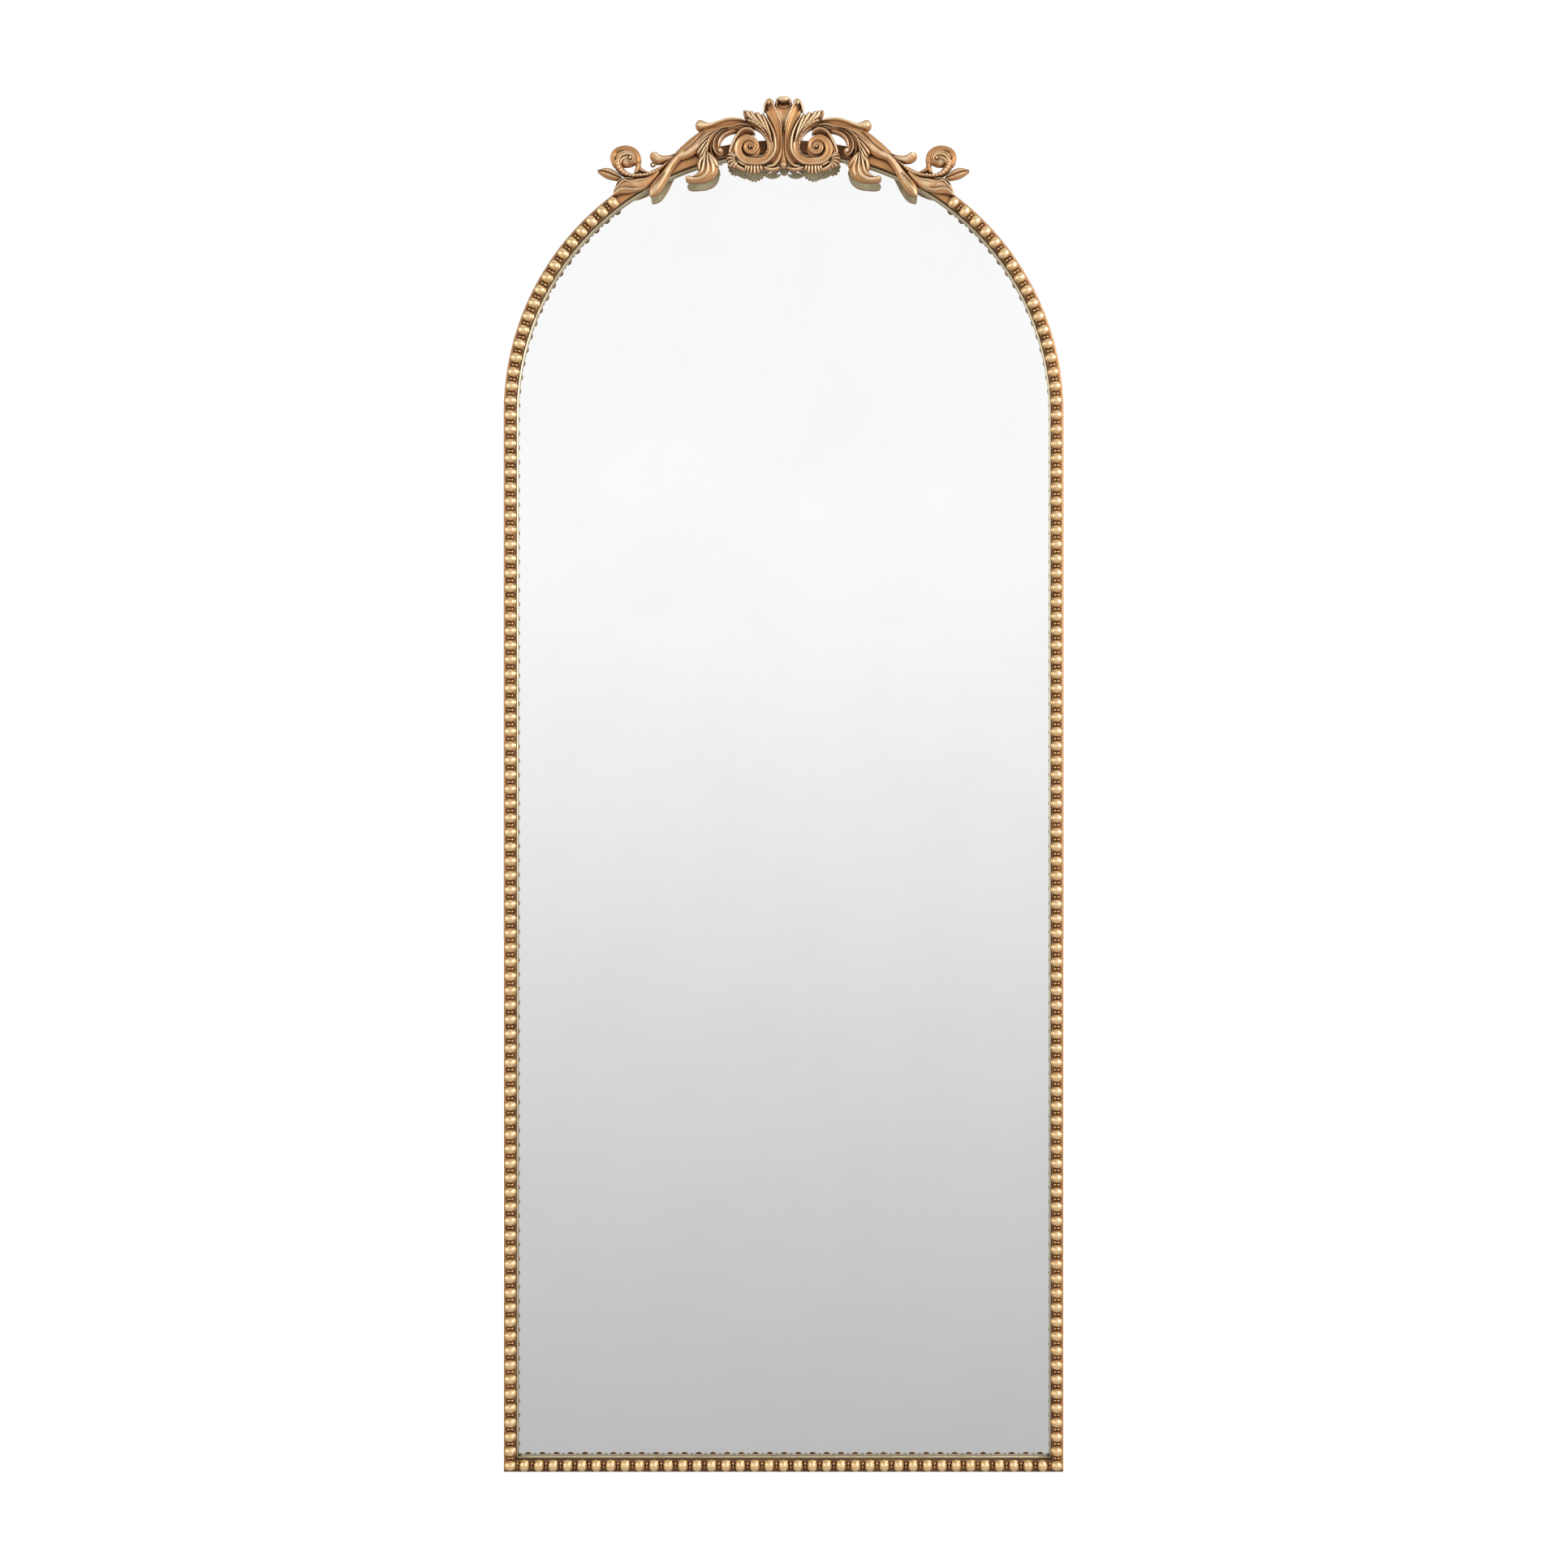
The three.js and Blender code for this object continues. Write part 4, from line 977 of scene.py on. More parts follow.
class MIRROR_OT_crest_scrolls(bpy.types.Operator):
    """Carve the scrolls with their volutes, the ruffled fringes and the curled leaves"""

    bl_idname = "gilt_mirror.crest_scrolls"
    bl_label = "Crest scrolls"

    def execute(self, context):
        coil, widths = [], []
        for degrees, radius, half in (
                (-75, 15.6, 4.4), (-50, 14.9, 4.5), (-25, 14.3, 4.6), (0, 13.8, 4.7), (30, 12.9, 4.4),
                (60, 11.9, 3.9), (90, 10.9, 3.4), (120, 9.8, 3.2), (150, 8.6, 3.2), (180, 7.5, 3.2),
                (210, 6.5, 3.0), (240, 5.7, 2.9), (270, 5.1, 2.8), (300, 4.8, 2.8), (330, 4.7, 2.8),
                (360, 4.6, 2.8), (400, 4.5, 2.8), (440, 4.3, 2.7), (480, 3.6, 2.4), (520, 2.8, 2.1),
                (570, 1.6, 1.7)):
            angle = math.radians(degrees)
            coil.append((39.6 + radius * math.cos(angle), -11.4 + radius * math.sin(angle)))
            widths.append(half)
        both_sides("volute", [
            cut([(36, 18), (29, 15.4), (22.9, 10.3), (18.5, 4), (15.6, -2.6), (14.2, -9.2), (14.6, -15.4),
                 (17.4, -21.2), (22.3, -25.4), (28.5, -27.6), (36, -27.6), *coil],
                [1.6, 3, 3.6, 3.6, 3.6, 3.6, 3.7, 3.9, 4.1, 4.3, 4.4, *widths],
                [8] + [9] * 14 + [9.4, 9.4, 9.4, 9.6, 9.6, 9.8, 10, 10, 10.2, 10.4, 10.4, 10.6, 10.8, 11,
                                  11.2, 11.6, 12], section=(0.86, 1.0, 0.93, 0.88, 0.86, 0.88, 0.93, 0.8),
                tone=0.88),
            cut([(24.5, 29), (17.9, 19.3), (13.9, 11.4), (10.9, 3.4), (9.5, -4.5), (9.3, -12.4),
                 (11.1, -18.9), (15.5, -24.9), (22.4, -29.5), (28.4, -30.9)],
                [0.8, 1.6, 2, 2.3, 2.3, 2.2, 2.1, 2, 1.8, 1.1],
                [9.4, 11, 12, 12.2, 12.2, 12.2, 12, 11.5, 10.5, 9]),
            cut([(43.3, 20.4), (38.5, 19.4), (32.2, 16.6), (26.7, 12.1), (22.5, 6.4), (19.7, 0.3),
                 (18.2, -6.8), (18.1, -13.2), (20.6, -18.6), (24.6, -21.4)],
                [1.2, 2.4, 2.5, 2.1, 1.6, 1.4, 1.3, 1.3, 1.3, 1],
                [9.4, 10.8, 10.8, 10.4, 10.2, 10, 9.8, 9.8, 9.6, 9], teeth=(11, 0.34, 0.15),
                veins=(11, 1.2, 2)),
            cut([(17, -10), (18.2, -3), (21, 4), (25.6, 9.8), (31.6, 13.8), (38.4, 16.2), (45.4, 17)],
                [1.4, 2.2, 2.8, 3.2, 3.4, 3.4, 2.6], [6, 6, 6, 6, 6, 6, 6], tone=0.2),
            cut([(34.6, 11.6), (30.2, 10.3), (26, 7.4), (22.4, 2.8), (19.8, -2.8), (18.6, -9.2)],
                [0.5, 0.9, 1, 1, 0.9, 0.5], [8, 8.6, 8.8, 8.8, 8.6, 8.2]),
            cut([(33.8, 4.4), (36, 8.4), (40.9, 10.6), (47, 9.8), (51.8, 6.6), (55.1, 1.6), (58.2, -4.2),
                 (61, -9.8), (62.8, -15.2), (62.4, -20)], [1, 1.5, 1.8, 1.9, 2, 2, 2, 2, 1.8, 1.2],
                [8.6, 10, 10.8, 11, 10.8, 10.2, 9.4, 8.8, 8.2, 7], section=RIDGE),
            cut([(36, 4.4), (42, 6.6), (48, 5.6), (53.4, 0.6)], [2.4, 3, 3.6, 3.4], [5, 5.4, 6, 6.4],
                section=CUP, tone=0.5),
            cut([(53.6, -0.6), (57, -7), (59.4, -13.4), (59.6, -20)], [2, 2.6, 2.8, 2], [6.8, 7, 7, 6.6],
                tone=0.6),
        ], [((39.6, -11.4), 12.4, 3, 1.0), ((39.2, -11), 2.2, 12.3, 1.0)])
        pleats = []
        for x, foot, lean in ((26.4, -37.6, -0.8), (30.1, -40, -0.3), (33.9, -41.4, 0.1), (37.7, -41.2, 0.5),
                              (41.2, -39.4, 1.0), (44.2, -37.2, 1.4)):
            pleats.append(cut([(x - lean, -31.4), (x - 0.4 * lean, -34.6), (x + 0.5 * lean, foot)],
                              [1.4, 2.3, 1.5], [7.8, 9.4, 7.8], section=RIDGE))
        both_sides("fringe", [
            cut([(23.8, -33), (29, -34.4), (34, -35.2), (39, -34.8), (43.6, -33), (47, -31)],
                [2, 3, 3.6, 3.4, 2.6, 1.2], [6.6, 6.6, 6.6, 6.6, 6.6, 6], tone=0.3),
            *pleats,
            cut([(44, -37.2), (49, -35.3), (54, -32.4), (57, -29.4)], [1.2, 2.1, 2.2, 1.2],
                [6.6, 7.6, 7.6, 6.4]),
            cut([(42, -33), (48, -30.6), (54, -26.6)], [1.4, 2.2, 1.8], [6.6, 7.6, 7.4]),
            cut([(55, -22.5), (59, -19.4), (63.6, -15.2)], [1.6, 2.2, 1.0], [7, 8.6, 7.6], section=RIDGE),
            cut([(56, -23.5), (61, -20.4), (66, -19.6)], [1.4, 2.2, 1.1], [7.4, 9.2, 7.6], section=RIDGE),
            cut([(56, -25), (61.6, -23.8), (67.4, -24)], [1.4, 2.2, 1.1], [7.4, 9.4, 7.6], section=RIDGE),
            cut([(55.6, -26.4), (61, -27), (66.2, -28.8)], [1.4, 2.2, 1.1], [7.4, 9.2, 7.4], section=RIDGE),
            cut([(54.6, -27.6), (59.6, -30), (63.4, -32.8)], [1.4, 2.2, 1.1], [7, 8.8, 7.2], section=RIDGE),
            cut([(53.6, -28.6), (57, -31.6), (58.8, -34.4)], [1.4, 2, 1.0], [7, 8.4, 7], section=RIDGE),
            cut([(4.2, -33.4), (9, -35.4), (15, -36), (21, -34.4), (25, -32)], [0.9, 1.8, 2.1, 1.9, 1],
                [5, 6.4, 7, 6.4, 5]),
        ])
        both_sides("curl_leaf", [
            cut([(54, 7.6), (58, 9.4), (64, 8), (71, 4.8), (76, -0.4), (78.7, -6.6), (78.9, -12), (76.4, -16),
                 (73.4, -17.6)], [1.2, 2, 2.5, 3, 3.7, 4.2, 4.2, 3.5, 2.2],
                [9, 9.6, 10, 10, 10, 10.2, 10.6, 10.6, 10.4],
                section=(0.9, 0.84, 0.76, 0.72, 0.76, 0.84, 0.9), tone=0.84),
            cut([(56, 7.4), (63.4, 6.2), (69.4, 3.2), (74, -1.8), (76, -7.6), (75.6, -12.6)],
                [0.8, 1.2, 1.5, 1.7, 1.7, 0.9], [10.4, 11.2, 11.8, 12, 12, 11.4]),
            cut([(64, 9.8), (72, 6.8), (78.6, 0.8), (81.6, -6.4), (81.6, -13), (78.6, -18.6), (73.6, -20)],
                [0.5, 0.9, 1.1, 1.2, 1.2, 1.1, 0.6], [10, 10.8, 11.2, 11.4, 11.2, 10.8, 10]),
            cut([(38.5, 13), (44.9, 14.9), (51.2, 15.2), (56.4, 13.8), (60.2, 11)], [0.7, 1.1, 1.2, 1.2, 0.8],
                [9, 10, 10.4, 10.2, 9.4]),
            cut([(42, 10.2), (49.6, 10.4), (56, 9)], [0.5, 0.9, 0.7], [8.6, 9.2, 9]),
            cut([(40.6, 12), (47, 12.9), (54, 12.4), (59.6, 10.6)], [1.2, 2, 2, 0.9], [5.4, 6, 6.4, 6.4],
                section=CUP, tone=0.12),
        ], [((74.6, -15.2), 4.3, 12, 1.0)])
        return {"FINISHED"}


class MIRROR_OT_crest_branches(bpy.types.Operator):
    """Carve the branches, horns, drooping leaves, buds and hooked leaves"""

    bl_idname = "gilt_mirror.crest_branches"
    bl_label = "Crest branches"

    def execute(self, context):
        both_sides("branch", [
            cut([(40, 16), (48, 15), (59.1, 13), (71, 10.6), (81.3, 7.4), (90.8, 3), (98.7, -2.8),
                 (106.6, -9.8), (113.5, -14.8), (120, -18.6), (127, -22.6)],
                [2, 3.4, 4.2, 5, 6, 7, 8, 8.4, 7.8, 6.2, 4.2],
                [6, 7, 7.4, 7.8, 8.6, 9.6, 10.2, 10.2, 9.8, 9.2, 8.6],
                section=(0.6, 0.9, 1.0, 0.97, 0.88, 0.84, 0.8, 0.66), tone=0.92),
            cut([(45, 18), (55, 18.7), (67, 17), (79, 13.2), (89, 9.6), (96, 6)],
                [1.4, 2.4, 3, 3.2, 2.6, 1.2], [5.4, 6, 6.4, 6.8, 7.2, 7.4],
                section=(0.85, 0.8, 0.8, 0.82, 0.9), tone=0.42),
            cut([(58, 12.6), (68.6, 11.6), (78, 8.6), (87, 3.8), (95, -2.4), (101.5, -9)],
                [0.7, 1.2, 1.4, 1.5, 1.3, 0.6], [9, 10.2, 10.6, 11, 11, 10.6]),
            cut([(92, 7.4), (99, 1.6), (105, -5), (112, -11.2), (120.5, -16.8), (130, -22)],
                [0.6, 1.2, 1.5, 1.4, 1.2, 0.6], [9.6, 10.8, 11.2, 11, 10.4, 9.4]),
        ])
        both_sides("horn", [
            cut([(43.7, 20.2), (51.2, 21.6), (59.1, 22.2), (67, 21.4), (74.1, 19.2), (80.5, 16.8), (86.8, 15),
                 (92.4, 14.6), (98, 14.8), (103.6, 14.8)], [1.2, 1.8, 2, 2.1, 2.1, 2.3, 2.9, 4.6, 6.2, 5.6],
                [8.6, 9.6, 10.2, 10.4, 10.2, 10, 10, 11, 12, 11],
                section=(0.5, 0.8, 0.97, 1.0, 0.97, 0.84, 0.55), caps=(1.2, 6)),
        ])
        fan = []
        for spine, half in (([(70, 9.4), (77.3, 7.4), (84.4, 1.9), (88.2, -4.5), (89.8, -10.8), (89.8, -18)],
                             [0.6, 1.3, 1.7, 1.9, 1.9, 1.1]), (
                                [(74, 9.6), (82.8, 6.4), (90.7, 1.7), (96.3, -2.1), (99.1, -4.6)],
                                [0.6, 1.6, 2.2, 2.3, 1.6]), (
                                [(80, 4.6), (89, 0.1), (95.3, -5.3), (99.4, -9.6), (101, -12)],
                                [0.8, 1.9, 2.6, 2.6, 1.8]), (
                                [(84.6, 0.9), (91.5, -6.1), (96.3, -12.4), (99.4, -16.8), (100.4, -19.4)],
                                [0.8, 2, 2.7, 2.6, 1.7]),
                            ([(88, -5.6), (92.3, -12.4), (95.5, -18.7), (98.3, -23.3)], [0.8, 2.1, 2.7, 1.8]),
                            ([(90, -12), (92.2, -18.6), (94.2, -24.4), (96.4, -28.4)], [0.8, 2.1, 2.5, 1.5])):
            fan.append(cut(spine, half, [10.2, 11.2, 11.4, 10.6, 9.4], section=RIDGE))
        tail = []
        for spine, half, rise in (
                ([(88.4, -17), (84, -23.5), (80.2, -29), (77.4, -34.6)], [0.9, 2.8, 3.4, 2],
                 [10.6, 11, 10.6, 9]), ([(88.6, -18), (85.4, -25.8), (82.8, -33), (82.6, -39.6), (85.6, -45)],
                                        [0.9, 2.7, 3.5, 3.5, 2.2], [10.6, 11.4, 11.2, 10.4, 8.6]),
                ([(90.2, -17), (92.4, -25.8), (93.8, -33), (95.6, -39.3), (100.2, -44), (107, -46.4)],
                 [0.8, 2.3, 2.9, 3, 2.6, 1.4], [10.6, 11.2, 11.2, 10.8, 10.8, 10.6]),
                ([(91.4, -18.7), (95.5, -23.7), (97.7, -28.2), (98.7, -33.8), (98, -39)],
                 [0.8, 2.1, 2.7, 2.6, 1.6], [10, 10.8, 10.8, 10.2, 9]), (
                    [(89.2, -17), (89, -26.6), (88.2, -35.3), (90.6, -42.6), (96.8, -47.2), (104, -48.8),
                     (110.6, -48), (115, -46.6)], [1, 2.2, 2.9, 3.2, 3.3, 3.6, 4, 3.4],
                    [11, 11.8, 11.6, 11.2, 11, 11.2, 12, 12])):
            tail.append(cut(spine, half, rise, section=RIDGE if len(spine) < 8 else ROUND))
        both_sides("droop_leaf", [
            cut([(74, 8.4), (82, 3), (89, -4), (93, -11.6), (94.4, -19), (94, -26)],
                [1.4, 3.8, 6, 6.6, 5.6, 3.6], [8.6, 9, 9.2, 9.2, 9, 8.4], tone=0.66),
            cut([(89.4, -16), (88, -24), (87.4, -32), (89.4, -39), (94.6, -44), (101.6, -46.9), (108, -47.8)],
                [2, 7.2, 10.6, 10.4, 8, 5.4, 4], [8.8, 9.2, 9.4, 9.4, 9.2, 9.2, 9.4], tone=0.74),
            *fan,
            *tail,
            cut([(66, 8.6), (75, 5), (81.8, -1.6), (85, -9.4), (84.6, -16.6), (81.4, -22.6)],
                [0.6, 1, 1.3, 1.4, 1.4, 0.8], [8.6, 9, 9, 8.8, 8.4, 7.8], tone=0.5),
        ])
        both_sides("bud", [
            cut([(113, -13.4), (120.4, -18.8), (126.8, -25), (132.9, -33), (138.2, -41.4), (143.6, -49.6),
                 (149.8, -57.8), (154, -63.6), (157, -68)], [2.6, 3.8, 4.2, 4.4, 5, 6.2, 6.7, 5, 0.7],
                [8, 9.6, 9.8, 9.8, 9.8, 9.8, 9.8, 8.6, 6], section=(0.5, 0.8, 0.95, 1.0, 0.95, 0.84, 0.55),
                tone=0.95),
            cut([(137.4, -41.4), (141.6, -48.4), (147.2, -56.2), (153.8, -64.2)], [0.4, 0.8, 0.9, 0.4],
                [10.4, 11.2, 11, 9.2]),
            cut([(138.6, -41), (144.6, -46.8), (150.6, -54.4), (154.8, -62.4)], [0.4, 0.8, 0.9, 0.4],
                [10.4, 11, 10.8, 9]),
        ])
        both_sides("hook_leaf", [
            cut([(124, -19.5), (130, -22.4), (137, -24.4), (143.6, -24.9), (149, -23.6), (153, -20.8),
                 (155.4, -18)], [1.2, 2, 3, 4.2, 5, 4.9, 4], [8, 8.8, 9, 9.6, 10.8, 11.8, 11],
                section=(0.55, 0.8, 0.88, 0.95, 1.0, 0.74), caps=(1.2, 4.6)),
            cut([(126, -18.8), (134, -21.6), (141, -22.2), (146, -20.8)], [0.6, 1.2, 1.3, 0.6],
                [9.4, 10.2, 10.6, 10.8]),
        ])
        return {"FINISHED"}


class MIRROR_OT_crest_ends(bpy.types.Operator):
    """Carve the crest's ends: ribbed stems with their curls, and the leaves around them"""

    bl_idname = "gilt_mirror.crest_ends"
    bl_label = "Crest ends"

    def execute(self, context):
        both_sides("end_scroll", [
            cut([(131, -24.6), (139.1, -31), (145.3, -35.9), (152.4, -40.1), (159.4, -42.7), (167.4, -44),
                 (175.3, -44.3), (181.5, -43.4), (187, -41), (191.4, -36.8), (194.8, -31.4), (196.8, -26)],
                [1, 2, 2.4, 2.6, 2.7, 2.8, 2.9, 3.1, 3.6, 4.2, 4.6, 4.2],
                [8, 8.8, 8.8, 9, 9.4, 9.6, 10, 10.2, 10.6, 11, 11.3, 11], veins=(20, 2.2, 1), caps=(1, 2)),
            cut([(193.6, -34), (197, -28.6), (197.9, -22.6), (195, -17.5), (189.4, -14.8), (183, -14.5),
                 (177.2, -16.7), (173.2, -21), (172, -26.6), (173.2, -32)],
                [3.4, 5, 5.4, 5.4, 5.3, 5.3, 5.2, 5, 4.6, 2.6],
                [11, 11.4, 11, 10.6, 10.4, 10.4, 10.2, 10, 9.6, 8],
                section=(0.66, 0.86, 0.8, 0.92, 0.84, 0.98, 0.96, 0.74), tone=0.85),
            cut([(192.4, -34), (194.4, -28), (192.4, -22), (187, -18.8), (181.2, -18.4), (176.8, -21),
                 (175.4, -25), (177.6, -28.4), (181.8, -28.2)], [2.4, 3.2, 3.4, 3.4, 3.2, 3, 2.8, 2.6, 1.6],
                [11, 11.6, 11.6, 11.2, 11, 11, 11.2, 11.6, 11], section=(0.72, 0.94, 0.86, 0.96, 0.9, 0.74)),
            cut([(191, -31), (190.2, -26.4), (186, -24), (182, -25)], [1.4, 2.4, 2.6, 1.8],
                [10.6, 11.2, 11.4, 11.4]),
            cut([(174.4, -42), (171.9, -37.5), (170.6, -33), (171, -28.6)], [2.4, 3, 3, 2.4],
                [8.4, 9, 9, 9.4], tone=0.8),
            cut([(157, -41.2), (164.7, -38.7), (171, -35.2)], [1.2, 2.4, 2.6], [6.6, 7.4, 8], tone=0.8),
            cut([(196.8, -18.6), (192.4, -16.4), (187.6, -16.2)], [0.5, 0.9, 0.5], [9.8, 9.8, 9.8],
                section=CUP, tone=0.05),
            cut([(195.8, -29.6), (196.6, -25), (194.4, -20.8)], [0.5, 0.9, 0.5], [10.9, 10.9, 10.7],
                section=CUP, tone=0.05),
        ], [((185, -22.6), 14.4, 8.6, 0.76), ((179.6, -24), 3.3, 12.2, 1.0)])
        both_sides("lower_leaf", [
            cut([(146, -38.2), (154.6, -46.4), (163.4, -52), (173, -54.6), (182.2, -55.6), (190, -58),
                 (195.4, -61.6), (199.4, -66.4)], [1.6, 3.8, 5.8, 7.4, 8.4, 7, 4.4, 1.2],
                [6.4, 7.4, 8.2, 8.6, 8.8, 8.8, 8.4, 7],
                section=(0.66, 0.88, 0.94, 0.97, 1.0, 0.97, 0.9, 0.62), tone=0.85),
            cut([(160, -54.6), (168.2, -59.2), (176.2, -61), (185, -60.2), (192.1, -60.8), (196.9, -63.8),
                 (199.8, -67.2)], [0.6, 1.4, 1.8, 1.9, 1.9, 1.7, 0.8], [7.6, 9, 9.8, 10.2, 10.2, 9.6, 8]),
            cut([(152, -43.6), (160.6, -48), (168, -49.6), (174.4, -51), (177.6, -54.4)],
                [0.6, 1.5, 2, 2, 0.9], [7.8, 9, 9.8, 9.8, 8.8]),
            cut([(177.5, -56), (181.5, -52), (186.8, -50.2), (191.2, -53.3), (195.6, -58.6), (198.9, -63.7)],
                [0.7, 1.5, 1.8, 1.9, 1.8, 0.8], [9, 10, 10.4, 10.4, 9.9, 8.8]),
            cut([(172, -57.4), (178, -57.8), (184.1, -56.6), (189.4, -57), (193.6, -59.4)],
                [0.4, 0.9, 1.1, 1.1, 0.5], [8.8, 9.6, 10, 9.8, 9]),
            cut([(176, -47.4), (182.4, -48), (189, -48.4), (193.6, -51.4), (196.6, -56)],
                [0.6, 1.4, 1.6, 1.4, 0.6], [8.6, 9.6, 9.8, 9.4, 8.4]),
        ])
        both_sides("end_leaf", [
            cut([(190, -47.6), (197.4, -44.4), (204.4, -41.4), (211.5, -39.3), (218.8, -38.2)],
                [2, 4.6, 5.9, 4.7, 0.9], [8, 8.8, 9.2, 8.6, 6.4],
                section=(0.5, 0.84, 0.96, 0.74, 1.0, 0.86, 0.5), tone=0.95),
        ])
        return {"FINISHED"}


# ---------------------------------------------------------------- glass, board and metalwork
class MIRROR_OT_glass_and_board(bpy.types.Operator):
    """Finish the silvered glass and the backing board"""

    bl_idname = "gilt_mirror.glass_and_board"
    bl_label = "Glass and board"

    def execute(self, context):
        dress("mirror_glass", silvered_glass())
        dress("backing_board", backing_board())
        return {"FINISHED"}


def bow_points():
    """The D-ring's middle line in millimetres, from its bar down to the round bow and back."""
    points = []
    for x, z, radius, start, end, steps in BOW:
        for i in range(steps + 1):
            turn = math.radians(start + (end - start) * i / steps)
            points.append(Vector((x + radius * math.cos(turn), z + radius * math.sin(turn))))
    return [a for a, b in zip(points, points[1:] + points[:1]) if (a - b).length > 0.01]


def ring_wire(bm, across):
    """Sweep a round wire along the D: a grid wrapped both ways and welded."""
    line = bow_points()
    bmesh.ops.create_grid(bm, x_segments=len(line), y_segments=WIRE_SIDES, size=0.5)
    for vert in bm.verts:
        i = round((vert.co.x + 0.5) * len(line)) % len(line)
        turn = 2 * math.pi * (round((vert.co.y + 0.5) * WIRE_SIDES) % WIRE_SIDES) / WIRE_SIDES
        ahead = (line[(i + 1) % len(line)] - line[i - 1]).normalized()
        spot = line[i] * MM + Vector((-ahead.y, ahead.x)) * (WIRE * math.cos(turn))
        vert.co = (across + spot.x, HANGER[1] + WIRE * math.sin(turn), HANGER[2] + spot.y)
    bmesh.ops.remove_doubles(bm, verts=bm.verts, dist=WELD)
    bmesh.ops.recalc_face_normals(bm, faces=bm.faces)


def screw_body(bm, across, drop):
    """Turn a pan-head screw and press a cross into its head."""
    line = [bm.verts.new((r * MM, y * MM, 0)) for r, y in SCREW_PROFILE]
    edges = [bm.edges.new(pair) for pair in zip(line, line[1:])]
    bmesh.ops.spin(bm, geom=line + edges, cent=(0, 0, 0), axis=(0, 1, 0), angle=2 * math.pi,
                   steps=SCREW_SIDES)
    bmesh.ops.remove_doubles(bm, verts=bm.verts, dist=WELD)
    bmesh.ops.recalc_face_normals(bm, faces=bm.faces)
    for vert in bm.verts:
        if vert.co.y > CROSS_FROM and min(abs(vert.co.x), abs(vert.co.z)) < CROSS_HALF:
            vert.co.y -= CROSS_DEPTH
    bmesh.ops.translate(bm, vec=(across, HEAD_SEAT, HANGER[2] - drop), verts=bm.verts)


class MIRROR_OT_metalwork(bpy.types.Operator):
    """Build smooth D-rings and screws, and finish the screw eye, hanger plates and bumpers"""

    bl_idname = "gilt_mirror.metalwork"
    bl_label = "Metalwork"

    def execute(self, context):
        dress("screw_eye", worn_metal("aged_brass", (0.52, 0.36, 0.12), (0.25, 0.16, 0.05), 0.34))
        zinc = worn_metal("zinc_plate", (0.62, 0.63, 0.65), (0.42, 0.43, 0.45), 0.36)
        for name, side in SIDES:
            dress(f"hanger_plate_{name}", zinc)
            node = f"hanger_ring_{name}"
            bm = bmesh.new()
            ring_wire(bm, side * HANGER[0])
            finish_piece(bm, f"{node}_wire", zinc, [node], node)
            for place, drop in SCREW_DROPS.items():
                node = f"hanger_screw_{place}_{name}"
                bm = bmesh.new()
                screw_body(bm, side * HANGER[0], drop)
                finish_piece(bm, f"{node}_turned", zinc, [node])
        rubber = bumper_rubber()
        for name, _ in SIDES:
            dress(f"bumper_{name}", rubber)
        return {"FINISHED"}


# ---------------------------------------------------------------- stage
def floor_material():
    """Pale floor, white to the lens but for the soft shadow on it; reflections see the room's greys."""
    made, sh, skin = new_material("pale_floor")
    tree = made.node_tree
    grain = sh.noise(sh.place(), 30.0, 3.0)
    sh.feed(skin.inputs["Base Color"], sh.mix(grain, (0.80, 0.80, 0.80), (0.83, 0.83, 0.83)))
    skin.inputs["Roughness"].default_value = 0.9
    skin.inputs["Specular IOR Level"].default_value = 0.1
    paths = sh.node("ShaderNodeLightPath").outputs
    glow = sh.math("MULTIPLY", paths["Is Camera Ray"], FLOOR_LIFT)
    lift = sh.node("ShaderNodeEmission", Color=(1.0, 1.0, 1.0), Strength=glow)
    seen = sh.node("ShaderNodeAddShader")
    tree.links.new(skin.outputs[0], seen.inputs[0])
    tree.links.new(lift.outputs[0], seen.inputs[1])
    clear = sh.node("ShaderNodeBsdfTransparent")
    both = sh.node("ShaderNodeMixShader", Fac=paths["Is Glossy Ray"])
    tree.links.new(seen.outputs[0], both.inputs[1])
    tree.links.new(clear.outputs[0], both.inputs[2])
    tree.links.new(both.outputs[0], tree.nodes["Material Output"].inputs["Surface"])
    return made


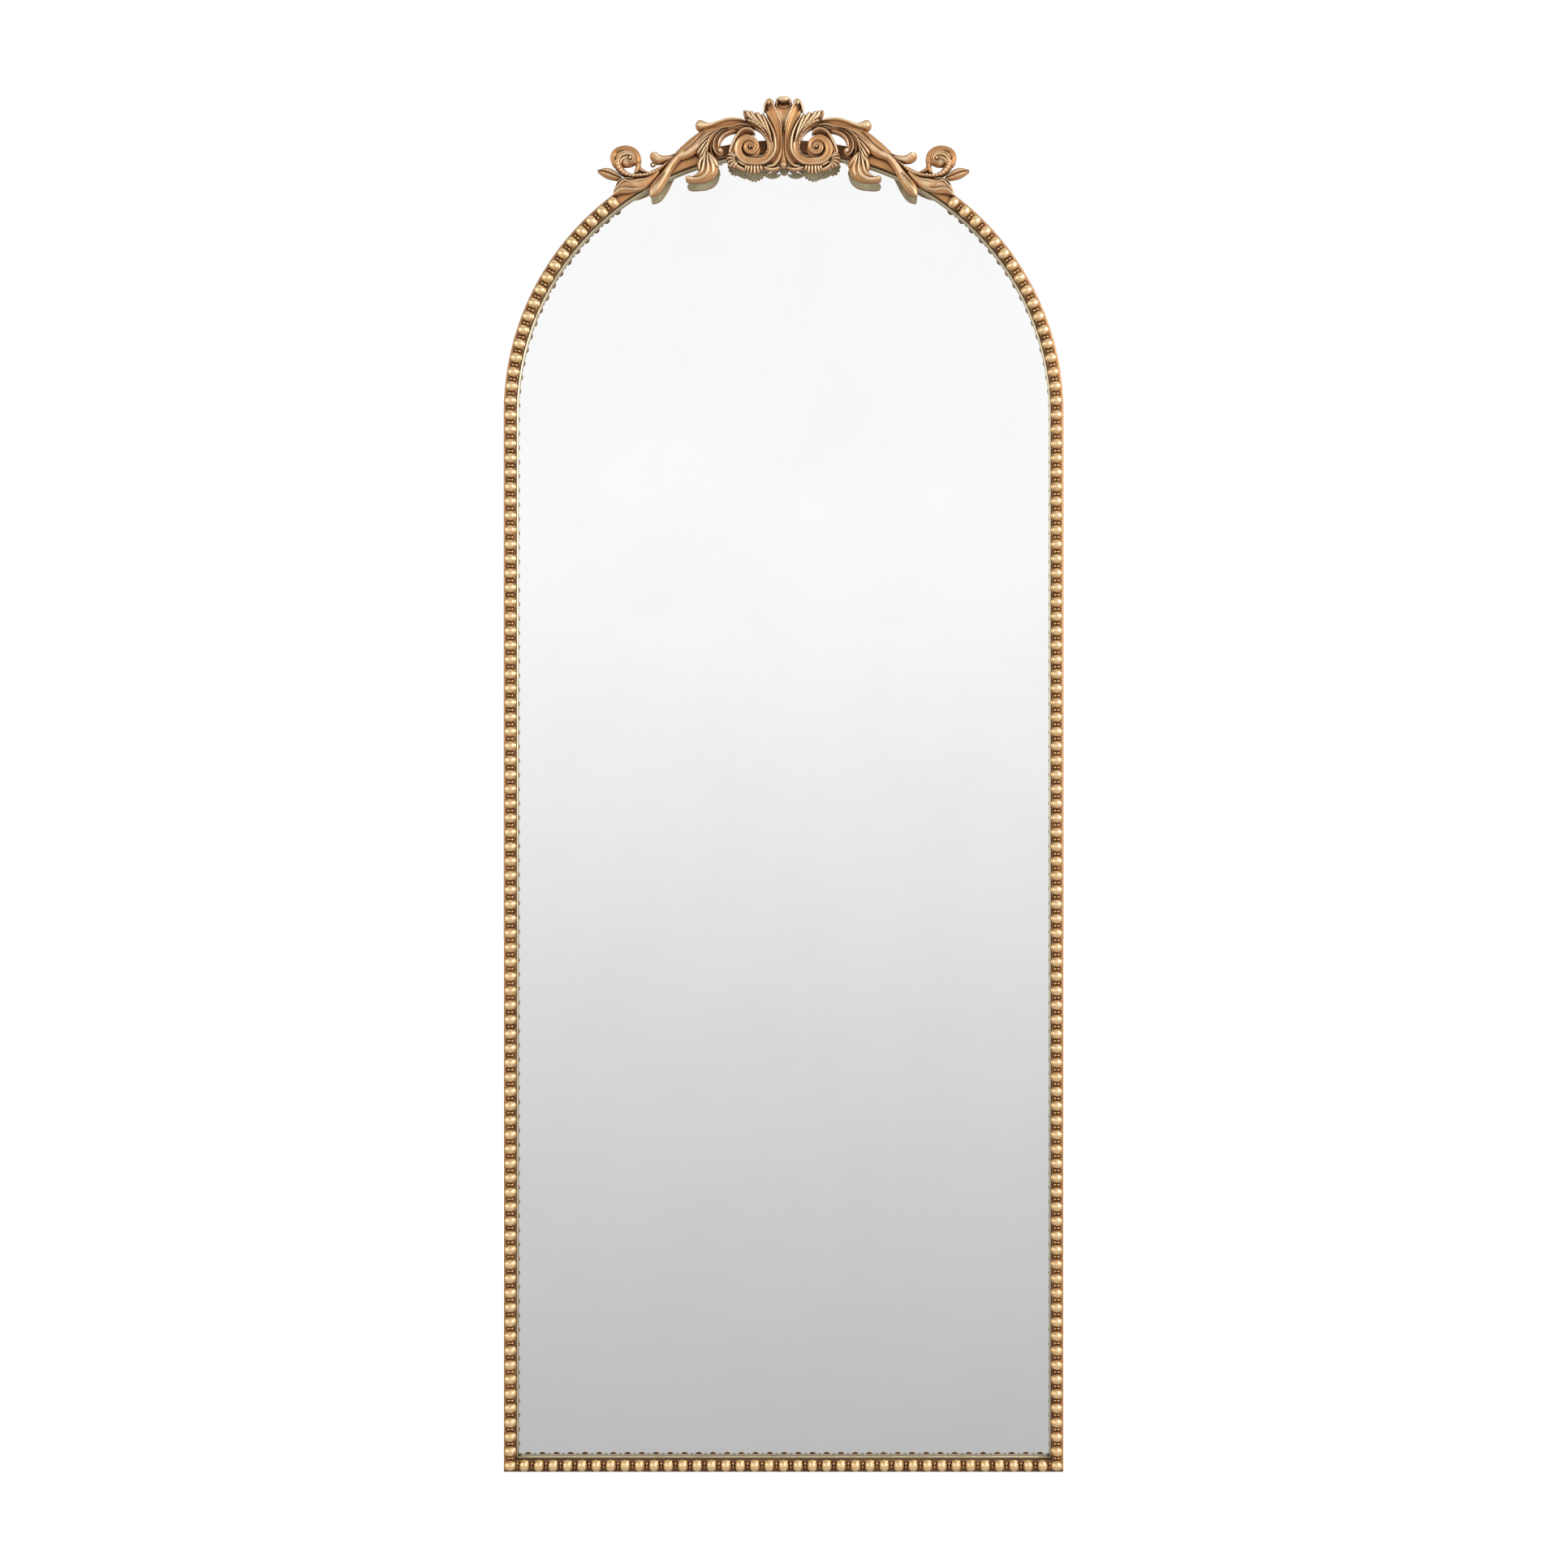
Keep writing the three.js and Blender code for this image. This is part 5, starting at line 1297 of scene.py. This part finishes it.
def room_world(ambient):
    """White to the lens, a soft even light on the piece, and a graded studio in its reflections."""
    world = bpy.data.worlds.new("studio")
    world.use_nodes = True
    sh = Shading(world.node_tree)
    tree = world.node_tree
    soft = tree.nodes["Background"]
    soft.inputs["Color"].default_value = (1.0, 1.0, 1.0, 1.0)
    soft.inputs["Strength"].default_value = ambient
    toward = sh.node("ShaderNodeTexCoord").outputs["Generated"]
    parts = sh.node("ShaderNodeSeparateXYZ", Vector=toward).outputs
    grey = sh.node("ShaderNodeValToRGB")
    sh.feed(grey.inputs[0], sh.math("MULTIPLY_ADD", parts[2], 0.5, 0.5))
    ramp = grey.color_ramp
    for index, (spot, level) in enumerate(ROOM_GREYS):
        stop = ramp.elements[index] if index < 2 else ramp.elements.new(spot)
        stop.position, stop.color = spot, (level, level, level, 1.0)
    sheen = sh.node("ShaderNodeBackground", Color=grey.outputs[0], Strength=1.0)
    white = sh.node("ShaderNodeBackground", Color=(1.0, 1.0, 1.0), Strength=1.0)
    paths = sh.node("ShaderNodeLightPath")
    glossy = sh.node("ShaderNodeMixShader", Fac=paths.outputs["Is Glossy Ray"])
    tree.links.new(soft.outputs[0], glossy.inputs[1])
    tree.links.new(sheen.outputs[0], glossy.inputs[2])
    direct = sh.math("MAXIMUM", paths.outputs["Is Camera Ray"], paths.outputs["Is Transmission Ray"])
    clear = sh.node("ShaderNodeMixShader", Fac=direct)
    tree.links.new(glossy.outputs[0], clear.inputs[1])
    tree.links.new(white.outputs[0], clear.inputs[2])
    tree.links.new(clear.outputs[0], tree.nodes["World Output"].inputs["Surface"])
    return world


def panel_light(name, place, aim, size, power):
    """A soft rectangular studio lamp."""
    lamp = bpy.data.lights.new(name, "AREA")
    lamp.shape, lamp.size, lamp.size_y = "RECTANGLE", size[0], size[1]
    lamp.energy = power
    made = bpy.data.objects.new(name, lamp)
    made.location = place
    made.rotation_euler = (Vector(aim) - Vector(place)).to_track_quat("-Z", "Y").to_euler()
    bpy.context.scene.collection.objects.link(made)


class MIRROR_OT_stage(bpy.types.Operator):
    """Set the floor, the lamps, the room and the camera"""

    bl_idname = "gilt_mirror.stage"
    bl_label = "Stage"

    def execute(self, context):
        scene = context.scene
        settings = scene.mirror_stage
        bm = bmesh.new()
        bmesh.ops.create_grid(bm, x_segments=8, y_segments=8, size=9.0)
        mesh = bpy.data.meshes.new("floor")
        bm.to_mesh(mesh)
        bm.free()
        mesh.materials.append(floor_material())
        floor = bpy.data.objects.new("floor", mesh)
        scene.collection.objects.link(floor)
        scene.world = room_world(settings.ambient)
        panel_light("key", (2.3, -1.9, 1.9), (0, 0, 1.0), (1.2, 2.2), settings.key)
        panel_light("fill", (-2.6, -1.7, 1.3), (0, 0, 0.8), (1.6, 2.2), settings.fill)
        panel_light("back", (0.6, 2.4, 2.2), (0, 0, 0.9), (2.0, 1.6), settings.rim)
        data = bpy.data.cameras.new("camera")
        data.lens = settings.lens
        data.sensor_width = SENSOR_WIDTH
        data.shift_x, data.shift_y = CAMERA_SHIFT
        camera = bpy.data.objects.new("camera", data)
        camera.location = (CAMERA_X, FACE_Y - settings.distance, CAMERA_HEIGHT)
        camera.rotation_euler = (math.pi / 2, 0, 0)
        scene.collection.objects.link(camera)
        scene.camera = camera
        scene.view_settings.view_transform = "Standard"
        return {"FINISHED"}


# ---------------------------------------------------------------- panel
STEPS = (MIRROR_OT_timbers, MIRROR_OT_slips, MIRROR_OT_beads, MIRROR_OT_crest_middle, MIRROR_OT_crest_scrolls,
         MIRROR_OT_crest_branches, MIRROR_OT_crest_ends, MIRROR_OT_glass_and_board, MIRROR_OT_metalwork,
         MIRROR_OT_stage)
SETTINGS = (
    ("mirror_sizes", MirrorSizes), ("bead_sizes", BeadSizes), ("carving_sizes", CarvingSizes),
    ("mirror_colours", MirrorColours), ("mirror_stage", StageSettings),
)


class MIRROR_PT_build(bpy.types.Panel):
    """Lists the settings and the steps of the mirror"""

    bl_label = "Gilt Arched Mirror"
    bl_idname = "MIRROR_PT_build"
    bl_space_type = "VIEW_3D"
    bl_region_type = "UI"
    bl_category = "Mirror"

    def draw(self, context):
        for name, group in SETTINGS:
            column = self.layout.column(heading=name)
            for key in group.__annotations__:
                column.prop(getattr(context.scene, name), key)
        for step in STEPS:
            self.layout.operator(step.bl_idname)


def register():
    for name, group in SETTINGS:
        bpy.utils.register_class(group)
        setattr(bpy.types.Scene, name, bpy.props.PointerProperty(type=group))
    for step in STEPS:
        bpy.utils.register_class(step)
    bpy.utils.register_class(MIRROR_PT_build)


def unregister():
    bpy.utils.unregister_class(MIRROR_PT_build)
    for step in reversed(STEPS):
        bpy.utils.unregister_class(step)
    for name, group in reversed(SETTINGS):
        delattr(bpy.types.Scene, name)
        bpy.utils.unregister_class(group)


def main():
    """Build the mirror and its stage."""
    register()
    for step in STEPS:
        group, name = step.bl_idname.split(".")
        getattr(getattr(bpy.ops, group), name)()


if __name__ == "__main__":
    main()
